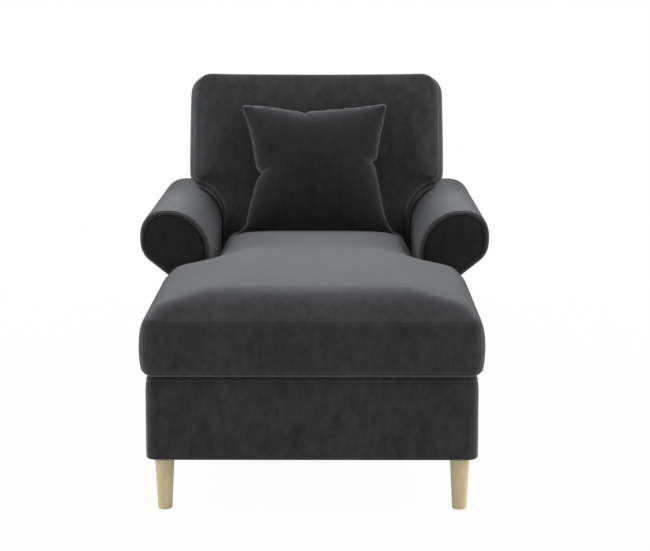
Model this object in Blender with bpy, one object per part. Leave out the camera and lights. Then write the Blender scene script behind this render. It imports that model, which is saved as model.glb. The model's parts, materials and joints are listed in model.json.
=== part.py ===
"""Long armchair (chaise longue): scroll arms set back from the front, a T-shaped seat cushion whose wings lie
in front of the arms, a T-shaped back cushion whose wings lie over them, and a scatter cushion, on a sprung
timber base with four turned legs.

Metres. +Z is up, the sitter faces -Y, and the origin is on the floor under the middle of the chair. Left and
right are as seen from the front. Sub-parts are placed by their distance behind the front of the base, and the
empty at the end of the script carries them all to the origin.
"""

import math

import bmesh
import bpy
from mathutils import Matrix, Vector
from mathutils.bvhtree import BVHTree

FIT = 0.0003  # gap between pieces that touch

# Base box: padded borders over a timber frame
BASE_WIDTH = 0.780
BASE_DEPTH = 1.485
BASE_HEIGHT = 0.198
FLOOR_GAP = 0.130
BORDER_THICKNESS = 0.010
BORDER_ROUND = 0.008
RAIL_THICKNESS = 0.018
DECK_THICKNESS = 0.012
DUST_COVER_THICKNESS = 0.0015
CROSS_RAIL_DEPTH = 0.070
CROSS_RAIL_BEHIND = 0.520
CORNER_BLOCK_SIDE = 0.060
CORNER_BLOCK_HEIGHT = 0.050

# Legs
LEG_TOP_RADIUS = 0.0235
LEG_FOOT_RADIUS = 0.0170
LEG_EASE = 0.0020
LEG_INSET = 0.040
LEG_HOLE_CLEARANCE = 0.0010
GLIDE_HEIGHT = 0.0040
GLIDE_RADIUS = 0.0120
BOLT_RADIUS = 0.0040
BOLT_IN_LEG = 0.030
BOLT_IN_BLOCK = 0.040

# Zigzag springs across the base
SPRING_COUNT = 6
SPRING_WIRE_RADIUS = 0.0019
SPRING_LOOPS = 16
SPRING_HALF_WIDTH = 0.025
SPRING_LEAD = 0.012

# Scroll arms
ARM_SETBACK = 0.682
ARM_WIDTH = 0.111
ARM_PAD_THICKNESS = 0.022
ARM_PANEL_THICKNESS = 0.012
ARM_BOARD_THICKNESS = 0.018
ARM_FACING_THICKNESS = 0.018
ARM_FACING_ROUND = 0.005
ARM_STRETCHER_SIDE = 0.046
SCROLL_RADIUS = 0.074
SCROLL_OUTSET = 0.0015
SCROLL_CENTRE_Z = 0.5585
SCROLL_SHOULDER_Z = 0.5165
SCROLL_TUCK = math.radians(52)
SCROLL_FULLNESS = 2.4
PIPING_RADIUS = 0.0045

# Back, raked by shearing, so that its wings stay level over the arms
BACK_RAKE = math.radians(11)
BACK_TOP = 0.957
BACK_WING_INSET = 0.027
BACK_WING_BOTTOM = 0.651
BACK_WING_CORNER = 0.020
BACK_TOP_CORNER = 0.047
BACK_FOOT_CORNER = 0.030
BACK_ARM_CLEARANCE = 0.015
BACK_WING_CLEARANCE = 0.030
BACK_THICKNESS = 0.180
BACK_CROWN = 0.045
BACK_CROWN_REACH = 0.110
BACK_REAR_CROWN = 0.004
BACK_PAD_THICKNESS = 0.022
BACK_POST_WIDTH = 0.040
BACK_POST_DEPTH = 0.058
BACK_POST_INSET = 0.010
BACK_FRAME_TOP = 0.900
BACK_FRAME_INSET = 0.028
BACK_FRAME_CLEARANCE = 0.007
BACK_TOP_RAIL_HEIGHT = 0.050
BACK_STILE_WIDTH = 0.022
OUTSIDE_BACK_THICKNESS = 0.012

# Seat cushion
SEAT_OVERHANG = 0.004
SEAT_SIDE_OVERHANG = 0.0045
SEAT_SEAM_LOW = 0.014
SEAT_SEAM_HIGH = 0.131
SEAT_EDGE_CROWN = 0.027
SEAT_BODY_CROWN = 0.033
SEAT_DOME = 0.014
SEAT_FRONT_REACH = 0.130
SEAT_SIDE_REACHES = (0.045, 0.260, 0.300)
SEAT_NECK_REACH = 0.080
SEAT_HELD_REACH = 0.035
SEAT_DOME_REACH = 0.600
SEAT_DOME_NECK_REACH = 0.200
SEAT_FOOT_REACH = 0.030
SEAT_FRONT_CORNER = 0.022
SEAT_CORNER = 0.050
SEAT_NECK_CORNER = 0.030
SEAT_ARM_GAP = 0.003
SEAT_BACK_GAP = 0.012
CUSHION_BULGE = 0.0125

# Scatter cushion
SCATTER_WIDTH = 0.450
SCATTER_HEIGHT = 0.400
SCATTER_HALF_THICKNESS = 0.078
SCATTER_EDGE = 0.006
SCATTER_SIDE_DRAW = 0.20
SCATTER_TOP_DRAW = 0.085
SCATTER_FOOT_POWER = 4
SCATTER_LEAN = math.radians(29)
SCATTER_CELLS = 16

# Zip in the rear border of the seat cushion
ZIP_LENGTH = 0.420
ZIP_TAPE_HEIGHT = 0.024
ZIP_TAPE_THICKNESS = 0.0012
ZIP_CHAIN_HEIGHT = 0.006
ZIP_CHAIN_THICKNESS = 0.0014
ZIP_SLIDER_LENGTH = 0.012
ZIP_SLIDER_HEIGHT = 0.009
ZIP_SLIDER_THICKNESS = 0.0025
ZIP_PULL_LENGTH = 0.022
ZIP_PULL_THICKNESS = 0.0010

# Fineness of round stretches
ARC_STEPS = 3
SCROLL_STEPS = 8
TURNED_STEPS = 20
LONGEST_SPAN = 0.14

# Heights and places that follow from the sizes above
BASE_TOP = FLOOR_GAP + BASE_HEIGHT
FRAME_BOTTOM = FLOOR_GAP + DUST_COVER_THICKNESS + FIT
RAIL_TOP = BASE_TOP - DECK_THICKNESS - FIT
SEAT_LEVEL = BASE_TOP + FIT
RAIL_OUTER = BASE_WIDTH / 2 - BORDER_THICKNESS - FIT
RAIL_INNER = RAIL_OUTER - RAIL_THICKNESS
RAIL_FRONT = BORDER_THICKNESS + FIT
RAIL_REAR = BASE_DEPTH - RAIL_FRONT
REAR_RAIL_FACE = RAIL_REAR - RAIL_THICKNESS
ARM_OUTER = BASE_WIDTH / 2
ARM_INNER = ARM_OUTER - ARM_WIDTH
ARM_PAD_FRONT = ARM_SETBACK + ARM_FACING_THICKNESS + FIT
ARM_FACING_INSET = 2 * PIPING_RADIUS + 3 * FIT
SCROLL_CENTRE_X = ARM_OUTER + SCROLL_OUTSET
SCROLL_TOP_Z = SCROLL_CENTRE_Z + SCROLL_RADIUS
BACK_WING_HALF = ARM_OUTER - BACK_WING_INSET
BACK_FRAME_HALF = ARM_OUTER - BACK_FRAME_INSET
BACK_FRAME_NECK = ARM_INNER - BACK_FRAME_CLEARANCE
BACK_PAD_AT = BACK_THICKNESS + BACK_REAR_CROWN + FIT
BACK_POST_AT = BACK_PAD_AT + BACK_PAD_THICKNESS + FIT
OUTSIDE_BACK_AT = BACK_POST_AT + BACK_POST_DEPTH + FIT
BACK_FRONT = REAR_RAIL_FACE - FIT - BACK_POST_AT - BACK_POST_DEPTH
SEAT_SEAM_HALF = ARM_OUTER + SEAT_SIDE_OVERHANG
CUSHION_NECK_HALF = ARM_INNER - BACK_ARM_CLEARANCE

PROFILE_POWER = 2.2


def material(name, colour, roughness, metallic=0.0):
    made = bpy.data.materials.new(name)
    made.use_nodes = True
    shader = made.node_tree.nodes["Principled BSDF"]
    shader.inputs["Base Color"].default_value = (*colour, 1.0)
    shader.inputs["Roughness"].default_value = roughness
    shader.inputs["Metallic"].default_value = metallic
    return made


def add_object(name, data, finish):
    made = bpy.data.objects.new(name, data)
    made.data.materials.append(finish)
    bpy.context.scene.collection.objects.link(made)
    return made


def add_mesh(name, shape, finish, smooth=math.radians(35)):
    """Turns a bmesh into a named object with outward faces, smooth where its faces meet gently."""
    bmesh.ops.recalc_face_normals(shape, faces=shape.faces)
    mesh = bpy.data.meshes.new(name)
    shape.to_mesh(mesh)
    shape.free()
    mesh.shade_smooth()
    mesh.set_sharp_from_angle(angle=smooth)
    return add_object(name, mesh, finish)


def box_shape(low, high):
    low, high = Vector(low), Vector(high)
    shape = bmesh.new()
    place = Matrix.Translation((low + high) / 2) @ Matrix.Diagonal((*(high - low), 1.0))
    bmesh.ops.create_cube(shape, size=1.0, matrix=place)
    return shape


def add_board(name, low, high, finish):
    return add_mesh(name, box_shape(low, high), finish)


def add_border(name, low, high, outward, finish):
    """A padded cover board, rounded along the edges of its outer face that stay open to view."""
    shape = box_shape(low, high)
    outward = Vector(outward)
    middle = (Vector(low) + Vector(high)) / 2
    outer = [
        edge
        for edge in shape.edges
        if all((corner.co - middle).dot(outward) > 0 for corner in edge.verts)
    ]
    if outward.x:
        outer = [edge for edge in outer if abs(edge.verts[0].co.y - edge.verts[1].co.y) > BORDER_ROUND]
    bmesh.ops.bevel(shape, geom=outer, offset=BORDER_ROUND, segments=3, profile=0.5, affect="EDGES")
    return add_mesh(name, shape, finish)


def extrude_outline(points, travel):
    """A prism: a flat outline of 3D points, pushed along travel."""
    shape = bmesh.new()
    face = shape.faces.new([shape.verts.new(point) for point in points])
    pushed = bmesh.ops.extrude_face_region(shape, geom=[face], use_keep_orig=True)["geom"]
    bmesh.ops.translate(shape, vec=travel, verts=[v for v in pushed if isinstance(v, bmesh.types.BMVert)])
    return shape


def turned_shape(profile, centre, steps=TURNED_STEPS):
    """A turned piece about a vertical axis, from (radius, height) pairs that start and end on the axis."""
    shape = bmesh.new()
    chain = [shape.verts.new((radius, 0.0, height)) for radius, height in profile]
    edges = [shape.edges.new(pair) for pair in zip(chain, chain[1:])]
    bmesh.ops.spin(
        shape, geom=chain + edges, cent=(0, 0, 0), axis=(0, 0, 1), angle=math.tau, steps=steps, use_merge=True
    )
    bmesh.ops.remove_doubles(shape, verts=shape.verts, dist=1e-5)
    bmesh.ops.translate(shape, vec=centre, verts=shape.verts)
    return shape


def add_tube(name, points, radius, resolution, finish):
    curve = bpy.data.curves.new(name, "CURVE")
    curve.dimensions = "3D"
    curve.bevel_depth = radius
    curve.bevel_resolution = resolution
    curve.use_fill_caps = True
    spline = curve.splines.new("POLY")
    spline.points.add(len(points) - 1)
    for place, point in zip(spline.points, points):
        place.co = (*point, 1.0)
    return add_object(name, curve, finish)


def cut(target, shape):
    """Takes a closed shape out of an object, with a hidden cutter that stays in the file."""
    cutter = add_mesh(f"{target.name}_cutter_{len(target.modifiers)}", shape, target.data.materials[0])
    cutter.hide_render = True
    cutter.display_type = "WIRE"
    cutter.parent = target
    boolean = target.modifiers.new("cut", "BOOLEAN")
    boolean.object = cutter
    boolean.operation = "DIFFERENCE"


def arc(centre, radii, start, end, steps):
    """Points on an elliptical arc from start to end, angles from +X towards the second axis."""
    angles = [start + (end - start) * i / steps for i in range(steps + 1)]
    return [(centre[0] + radii[0] * math.cos(a), centre[1] + radii[1] * math.sin(a)) for a in angles]


def spread(points, longest=LONGEST_SPAN):
    """The same path with points added, so that no span is longer than longest."""
    path = [points[0]]
    for start, end in zip(points, points[1:]):
        count = max(1, math.ceil(math.dist(start, end) / longest))
        for i in range(1, count + 1):
            path.append(tuple(a + (b - a) * i / count for a, b in zip(start, end)))
    return path


def full_arc(centre, radius, start, end, steps):
    """An arc that is a little squarer than a circle, as a stuffed roll is."""
    power = 2 / SCROLL_FULLNESS
    points = []
    for i in range(steps + 1):
        angle = start + (end - start) * i / steps
        across, up = math.cos(angle), math.sin(angle)
        x = centre[0] + radius * math.copysign(abs(across) ** power, across)
        points.append((x, centre[1] + radius * math.copysign(abs(up) ** power, up)))
    return points


def scroll_path(inset, outer_x):
    """Arm section from the foot of the inner face, over the scroll and under it, to the plane at outer_x."""
    centre = (SCROLL_CENTRE_X, SCROLL_CENTRE_Z)
    inner_radii = (SCROLL_CENTRE_X - ARM_INNER - inset, SCROLL_TOP_Z - SCROLL_SHOULDER_Z - inset)
    path = [(ARM_INNER + inset, SEAT_LEVEL)]
    shoulder = (SCROLL_CENTRE_X, SCROLL_SHOULDER_Z)
    path += arc(shoulder, inner_radii, math.pi, math.pi / 2, SCROLL_STEPS)
    path += full_arc(centre, SCROLL_RADIUS - inset, math.pi / 2, -SCROLL_TUCK, SCROLL_STEPS)[1:]
    tuck_x, tuck_z = path[-1]
    slope = math.tan(SCROLL_TUCK) ** (2 / SCROLL_FULLNESS - 2)
    path.append((outer_x, tuck_z - (tuck_x - outer_x) * slope))
    return path


def edge_distance(point, path):
    """Shortest distance from a point to a path of straight spans."""
    nearest = math.inf
    for (ax, ay), (bx, by) in zip(path, path[1:]):
        dx, dy = bx - ax, by - ay
        length = dx * dx + dy * dy
        along = ((point[0] - ax) * dx + (point[1] - ay) * dy) / length if length else 0.0
        along = min(1.0, max(0.0, along))
        nearest = min(nearest, math.hypot(point[0] - ax - along * dx, point[1] - ay - along * dy))
    return nearest


def crown_share(distance, reach):
    """How far a stuffed panel has risen, from 0 at its seam to 1 on its flat middle."""
    return 1 - (1 - min(distance / reach, 1.0)) ** PROFILE_POWER


def layer_share(point, edges):
    return math.prod(crown_share(edge_distance(point, path), reach) for path, reach in edges)


def outward_normal(before, after):
    """Unit normal on the right of the way from before to after."""
    dx, dy = after[0] - before[0], after[1] - before[1]
    length = math.hypot(dx, dy)
    return (dy / length, -dx / length)


def box_cushion_shape(side, low, high):
    """A box cushion with crowned panels and a border that bulges between its two seams.

    side is the right-hand outline as (half width, station) from the first edge to the last. low and high are
    (seam height, layers) of the two panels. A layer is (crown, edges), where edges are right-hand paths, each
    with the reach over which the layer rises from it, and the layers add up.
    """
    columns = (-1.0, -0.93, -0.8, -0.55, -0.25, 0.0, 0.25, 0.55, 0.8, 0.93, 1.0)
    border_steps = (0.25, 0.5, 0.75)
    last = len(side) - 1
    window = 2
    # Rows crowd together along a step of the outline, so they are spread apart towards the middle.
    middles = []
    for row, (_, station) in enumerate(side):
        reach = min(window, row, last - row)
        near = [side[k][1] for k in range(row - reach, row + reach + 1)]
        middles.append(sum(near) / len(near))
    grid = [
        [(u * half, middle + (station - middle) * abs(u) ** 3) for u in columns]
        for (half, station), middle in zip(side, middles)
    ]
    rows, width = len(grid), len(columns)
    rim = [(0, i) for i in range(width)] + [(j, width - 1) for j in range(1, rows)]
    rim += [(rows - 1, i) for i in range(width - 2, -1, -1)] + [(j, 0) for j in range(rows - 2, 0, -1)]
    loop = [grid[j][i] for j, i in rim]

    shape = bmesh.new()
    panels = []
    for (seam, layers), sign in ((low, -1), (high, 1)):
        panel = []
        for row in grid:
            corners = []
            for x, y in row:
                rise = sum(crown * layer_share((abs(x), y), edges) for crown, edges in layers)
                corners.append(shape.verts.new((x, y, seam + sign * rise)))
            panel.append(corners)
        panels.append(panel)
    for panel in panels:
        for j in range(rows - 1):
            for i in range(width - 1):
                shape.faces.new((panel[j][i], panel[j][i + 1], panel[j + 1][i + 1], panel[j + 1][i]))
    rings = [[panels[0][j][i] for j, i in rim]]
    count = len(loop)
    for step in border_steps:
        ring = []
        for k, (x, y) in enumerate(loop):
            nx, ny = outward_normal(loop[k - 1], loop[(k + 1) % count])
            bulge = CUSHION_BULGE * math.sin(math.pi * step)
            ring.append(shape.verts.new((x + nx * bulge, y + ny * bulge, low[0] + (high[0] - low[0]) * step)))
        rings.append(ring)
    rings.append([panels[1][j][i] for j, i in rim])
    for below, above in zip(rings, rings[1:]):
        for k in range(count):
            n = (k + 1) % count
            shape.faces.new((below[k], below[n], above[n], above[k]))
    return shape


def raked(y_from_back_front, z):
    """Distance behind the base front of a place on the raked back, given behind the back cushion's front."""
    return BACK_FRONT + y_from_back_front + (z - BASE_TOP) * math.tan(BACK_RAKE)


def add_raked_panel(name, outline, start, thickness, finish):
    """A panel of the back: an XZ outline, given thickness along Y, then sheared back by the rake."""
    shape = extrude_outline([(x, start, z) for x, z in outline], (0, thickness, 0))
    for corner in shape.verts:
        corner.co.y = raked(corner.co.y, corner.co.z)
    return add_mesh(name, shape, finish)


def add_base(velvet, timber, cloth):
    half = BASE_WIDTH / 2
    inner_rear = BASE_DEPTH - BORDER_THICKNESS
    z = (FLOOR_GAP, BASE_TOP)
    add_border("base_border_front", (-half, 0, z[0]), (half, BORDER_THICKNESS, z[1]), (0, -1, 0), velvet)
    add_border("base_border_rear", (-half, inner_rear, z[0]), (half, BASE_DEPTH, z[1]), (0, 1, 0), velvet)
    for side, sign in (("left", -1), ("right", 1)):
        xs = sorted((sign * (half - BORDER_THICKNESS), sign * half))
        low = (xs[0], RAIL_FRONT, z[0])
        high = (xs[1], RAIL_REAR, z[1])
        add_border(f"base_border_{side}", low, high, (sign, 0, 0), velvet)
        rail_xs = sorted((sign * RAIL_INNER, sign * RAIL_OUTER))
        rail_low = (rail_xs[0], RAIL_FRONT + RAIL_THICKNESS + FIT, FRAME_BOTTOM)
        add_board(f"rail_{side}", rail_low, (rail_xs[1], REAR_RAIL_FACE - FIT, RAIL_TOP), timber)
    for end, start in (("front", RAIL_FRONT), ("rear", REAR_RAIL_FACE)):
        low = (-RAIL_OUTER, start, FRAME_BOTTOM)
        add_board(f"rail_{end}", low, (RAIL_OUTER, start + RAIL_THICKNESS, RAIL_TOP), timber)
    cross_half = RAIL_INNER - FIT
    cross_low = (-cross_half, CROSS_RAIL_BEHIND, FRAME_BOTTOM)
    cross_high = (cross_half, CROSS_RAIL_BEHIND + RAIL_THICKNESS, FRAME_BOTTOM + CROSS_RAIL_DEPTH)
    add_board("cross_rail", cross_low, cross_high, timber)
    deck_rear = raked(BACK_POST_AT, BASE_TOP) - FIT
    deck_low = (-RAIL_OUTER, RAIL_FRONT, RAIL_TOP + FIT)
    add_board("seat_deck", deck_low, (RAIL_OUTER, deck_rear, BASE_TOP), cloth)


def leg_places():
    for end, y in (("front", LEG_INSET), ("rear", BASE_DEPTH - LEG_INSET)):
        for side, sign in (("left", -1), ("right", 1)):
            yield f"{end}_{side}", (sign * (BASE_WIDTH / 2 - LEG_INSET), y, 0.0)


def add_legs(oak, timber, steel, plastic, cloth):
    leg_top = FRAME_BOTTOM - FIT
    leg_foot = GLIDE_HEIGHT + FIT
    hole = BOLT_RADIUS + FIT
    hole_floor = leg_top - BOLT_IN_LEG
    cover_half = RAIL_OUTER
    cover = add_board(
        "dust_cover",
        (-cover_half, RAIL_FRONT, FLOOR_GAP),
        (cover_half, RAIL_REAR, FLOOR_GAP + DUST_COVER_THICKNESS),
        cloth,
    )
    for name, place in leg_places():
        leg_profile = [
            (0, leg_foot),
            (LEG_FOOT_RADIUS - LEG_EASE, leg_foot),
            (LEG_FOOT_RADIUS, leg_foot + LEG_EASE),
            (LEG_TOP_RADIUS, leg_top - LEG_EASE),
            (LEG_TOP_RADIUS - LEG_EASE, leg_top),
            (hole, leg_top),
            (hole, hole_floor),
            (0, hole_floor),
        ]
        add_mesh(f"leg_{name}", turned_shape(leg_profile, place), oak)
        glide_profile = [(0, 0), (GLIDE_RADIUS, 0), (GLIDE_RADIUS, GLIDE_HEIGHT), (0, GLIDE_HEIGHT)]
        add_mesh(f"leg_glide_{name}", turned_shape(glide_profile, place), plastic)
        bolt_low, bolt_high = hole_floor + FIT, FRAME_BOTTOM + BOLT_IN_BLOCK
        bolt_profile = [(0, bolt_low), (BOLT_RADIUS, bolt_low), (BOLT_RADIUS, bolt_high), (0, bolt_high)]
        add_mesh(f"leg_bolt_{name}", turned_shape(bolt_profile, place), steel)
        add_corner_block(name, place, hole, timber)
        opening = LEG_TOP_RADIUS + LEG_HOLE_CLEARANCE
        reach = 2 * DUST_COVER_THICKNESS
        low, high = FLOOR_GAP - reach, FLOOR_GAP + DUST_COVER_THICKNESS + reach
        cut(cover, turned_shape([(0, low), (opening, low), (opening, high), (0, high)], place))


def add_corner_block(name, place, hole, timber):
    """A block with one corner sawn off, in the angle of two rails, with the leg bolt's hole through it."""
    inward_x = -math.copysign(1, place[0])
    inward_y = 1 if place[1] < BASE_DEPTH / 2 else -1
    corner_x = -inward_x * (RAIL_INNER - FIT)
    corner_y = RAIL_FRONT + RAIL_THICKNESS + FIT if inward_y > 0 else REAR_RAIL_FACE - FIT
    side, sawn = CORNER_BLOCK_SIDE, CORNER_BLOCK_SIDE / 2
    plan = [(0, 0), (side, 0), (side, side - sawn), (side - sawn, side), (0, side)]
    points = [(corner_x + inward_x * a, corner_y + inward_y * b, FRAME_BOTTOM) for a, b in plan]
    block = add_mesh(f"corner_block_{name}", extrude_outline(points, (0, 0, CORNER_BLOCK_HEIGHT)), timber)
    low, high = FRAME_BOTTOM - CORNER_BLOCK_HEIGHT, FRAME_BOTTOM + 2 * CORNER_BLOCK_HEIGHT
    cut(block, turned_shape([(0, low), (hole, low), (hole, high), (0, high)], place, steps=12))


def add_springs(steel):
    """Zigzag springs hooked between the side rails, with the tops of their wires level with the rails."""
    points_per_loop = 3
    end = RAIL_INNER - FIT
    wave_half = end - SPRING_LEAD
    count = SPRING_LOOPS * points_per_loop
    front = RAIL_FRONT + RAIL_THICKNESS
    pitch = (raked(BACK_POST_AT, BASE_TOP) - front) / SPRING_COUNT
    z = RAIL_TOP - SPRING_WIRE_RADIUS
    for spring in range(SPRING_COUNT):
        y = front + (spring + 0.5) * pitch
        path = [(-end, y, z)]
        for i in range(count + 1):
            x = wave_half * (2 * i / count - 1)
            path.append((x, y + SPRING_HALF_WIDTH * math.sin(math.pi * i / points_per_loop), z))
        path.append((end, y, z))
        add_tube(f"seat_spring_{spring + 1}", path, SPRING_WIRE_RADIUS, 0, steel)


def add_arm(side, sign, velvet, timber):
    def section(path, y):
        return [(sign * x, y, z) for x, z in path]

    board_outer = ARM_OUTER - ARM_PANEL_THICKNESS - FIT
    board_outline = scroll_path(ARM_PAD_THICKNESS + FIT, board_outer) + [(board_outer, SEAT_LEVEL)]
    rear_start = BASE_DEPTH - ARM_BOARD_THICKNESS
    thickness = (0, ARM_BOARD_THICKNESS, 0)
    # The rear board shows from behind, so it is covered.
    for end, y, finish in (("front", ARM_PAD_FRONT, timber), ("rear", rear_start, velvet)):
        shape = extrude_outline(section(board_outline, y), thickness)
        add_mesh(f"arm_{end}_board_{side}", shape, finish)

    half = ARM_STRETCHER_SIDE / 2
    xs = sorted((sign * (SCROLL_CENTRE_X - half), sign * (SCROLL_CENTRE_X + half)))
    low = (xs[0], ARM_PAD_FRONT + ARM_BOARD_THICKNESS + FIT, SCROLL_CENTRE_Z - half)
    add_board(f"arm_stretcher_{side}", low, (xs[1], rear_start - FIT, SCROLL_CENTRE_Z + half), timber)

    panel_inner = ARM_OUTER - ARM_PANEL_THICKNESS
    over = scroll_path(0, panel_inner)
    under = scroll_path(ARM_PAD_THICKNESS, panel_inner)
    pad = extrude_outline(section(over + under[::-1], ARM_PAD_FRONT), (0, BASE_DEPTH - ARM_PAD_FRONT, 0))
    add_mesh(f"arm_pad_{side}", pad, velvet)

    panel_xs = sorted((sign * panel_inner, sign * ARM_OUTER))
    panel_top = over[-1][1] - FIT
    panel_high = (panel_xs[1], BASE_DEPTH, panel_top)
    add_board(f"arm_outside_panel_{side}", (panel_xs[0], ARM_PAD_FRONT, SEAT_LEVEL), panel_high, velvet)

    face_outer = ARM_OUTER - ARM_FACING_INSET
    face_outline = scroll_path(ARM_FACING_INSET, face_outer) + [(face_outer, SEAT_LEVEL)]
    facing = extrude_outline(section(face_outline, ARM_SETBACK), (0, ARM_FACING_THICKNESS, 0))
    front_edges = [e for e in facing.edges if all(v.co.y < ARM_SETBACK + FIT for v in e.verts)]
    bmesh.ops.bevel(
        facing, geom=front_edges, offset=ARM_FACING_ROUND, segments=2, profile=0.5, affect="EDGES"
    )
    add_mesh(f"arm_facing_{side}", facing, velvet)

    piping_y = ARM_SETBACK + ARM_FACING_THICKNESS - PIPING_RADIUS
    piping_outer = ARM_OUTER - PIPING_RADIUS
    route = scroll_path(PIPING_RADIUS, piping_outer) + [(piping_outer, SEAT_LEVEL)]
    add_tube(f"arm_piping_{side}", section(route, piping_y), PIPING_RADIUS, 1, velvet)


def back_outline():
    """T outline of the frame's panels: narrow between the arms and wide above them."""
    neck = [(BACK_FRAME_NECK, SEAT_LEVEL), (BACK_FRAME_NECK, BACK_WING_BOTTOM)]
    wing = [(BACK_FRAME_HALF, BACK_WING_BOTTOM), (BACK_FRAME_HALF, BACK_FRAME_TOP)]
    right = neck + wing
    return right + [(-x, z) for x, z in reversed(right)]


def add_back_frame(velvet, timber):
    """Two posts bolted inside the base, a top rail and stiles wrapped in velvet, and padded panels."""
    add_raked_panel("back_pad", back_outline(), BACK_PAD_AT, BACK_PAD_THICKNESS, velvet)
    add_raked_panel("outside_back", back_outline(), OUTSIDE_BACK_AT, OUTSIDE_BACK_THICKNESS, velvet)
    rail_bottom = BACK_FRAME_TOP - BACK_TOP_RAIL_HEIGHT
    rail = [
        (-BACK_FRAME_HALF, rail_bottom),
        (BACK_FRAME_HALF, rail_bottom),
        (BACK_FRAME_HALF, BACK_FRAME_TOP),
        (-BACK_FRAME_HALF, BACK_FRAME_TOP),
    ]
    add_raked_panel("back_top_rail", rail, BACK_POST_AT, BACK_POST_DEPTH, velvet)
    post_top = rail_bottom - FIT
    post_rear = BACK_POST_AT + BACK_POST_DEPTH
    post_section = [
        (raked(BACK_POST_AT, BASE_TOP), FRAME_BOTTOM),
        (raked(post_rear, BASE_TOP), FRAME_BOTTOM),
        (raked(post_rear, BASE_TOP), BASE_TOP),
        (raked(post_rear, post_top), post_top),
        (raked(BACK_POST_AT, post_top), post_top),
        (raked(BACK_POST_AT, BASE_TOP), BASE_TOP),
    ]
    for side, sign in (("left", -1), ("right", 1)):
        post_outer = sign * (BACK_FRAME_NECK - BACK_POST_INSET)
        points = [(post_outer, y, z) for y, z in post_section]
        post = extrude_outline(points, (-sign * BACK_POST_WIDTH, 0, 0))
        add_mesh(f"back_post_{side}", post, timber)
        outer = sign * BACK_FRAME_HALF
        inner = outer - sign * BACK_STILE_WIDTH
        stile = [
            (inner, BACK_WING_BOTTOM),
            (outer, BACK_WING_BOTTOM),
            (outer, post_top),
            (inner, post_top),
        ]
        add_raked_panel(f"back_stile_{side}", stile, BACK_POST_AT, BACK_POST_DEPTH, velvet)


def add_back_cushion(velvet):
    """The T cushion: its neck stands on the deck between the arms and its wings follow the scrolls."""
    foot = SEAT_LEVEL + CUSHION_BULGE
    neck, wing = CUSHION_NECK_HALF, BACK_WING_HALF
    radius = BACK_FOOT_CORNER
    side = arc((neck - radius, foot + radius), (radius, radius), -math.pi / 2, 0, ARC_STEPS)
    scroll_radii = (SCROLL_CENTRE_X - neck, SCROLL_TOP_Z - SCROLL_SHOULDER_Z + BACK_WING_CLEARANCE)
    corner_x = wing - BACK_WING_CORNER
    turn = math.acos((SCROLL_CENTRE_X - corner_x) / scroll_radii[0])
    notch = arc((SCROLL_CENTRE_X, SCROLL_SHOULDER_Z), scroll_radii, math.pi, math.pi - turn, 2 * ARC_STEPS)
    side += notch
    corner_z = notch[-1][1] + BACK_WING_CORNER
    corner_radii = (BACK_WING_CORNER, BACK_WING_CORNER)
    side += arc((corner_x, corner_z), corner_radii, -turn, 0, ARC_STEPS)
    top = BACK_TOP_CORNER
    side += arc((wing - top, BACK_TOP - top), (top, top), 0, math.pi / 2, ARC_STEPS)
    edges = [([(0, foot)] + side + [(0, BACK_TOP)], BACK_CROWN_REACH)]
    rear = (0.0, [(BACK_REAR_CROWN, edges)])
    front = (BACK_THICKNESS, [(BACK_CROWN, edges)])
    shape = box_cushion_shape(spread(side), rear, front)
    # Its top is square to the rake and falls towards the rear, less and less down to the wings' lower edge.
    for corner in shape.verts:
        x, z, height = corner.co
        depth = BACK_THICKNESS - height
        above = max(0.0, (z - BACK_WING_BOTTOM) / (BACK_TOP - BACK_WING_BOTTOM))
        z -= above * depth * math.tan(BACK_RAKE)
        corner.co = (x, raked(depth, z), z)
    return add_mesh("back_cushion", shape, velvet)


def back_cushion_nearest():
    """How far behind the base front the most forward point of the back cushion's neck lies."""
    foot = SEAT_LEVEL + CUSHION_BULGE
    steps = 24
    heights = [BACK_CROWN_REACH * i / steps for i in range(steps + 1)]
    return min(raked(-BACK_CROWN * crown_share(h, BACK_CROWN_REACH), foot + h) for h in heights)


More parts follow.
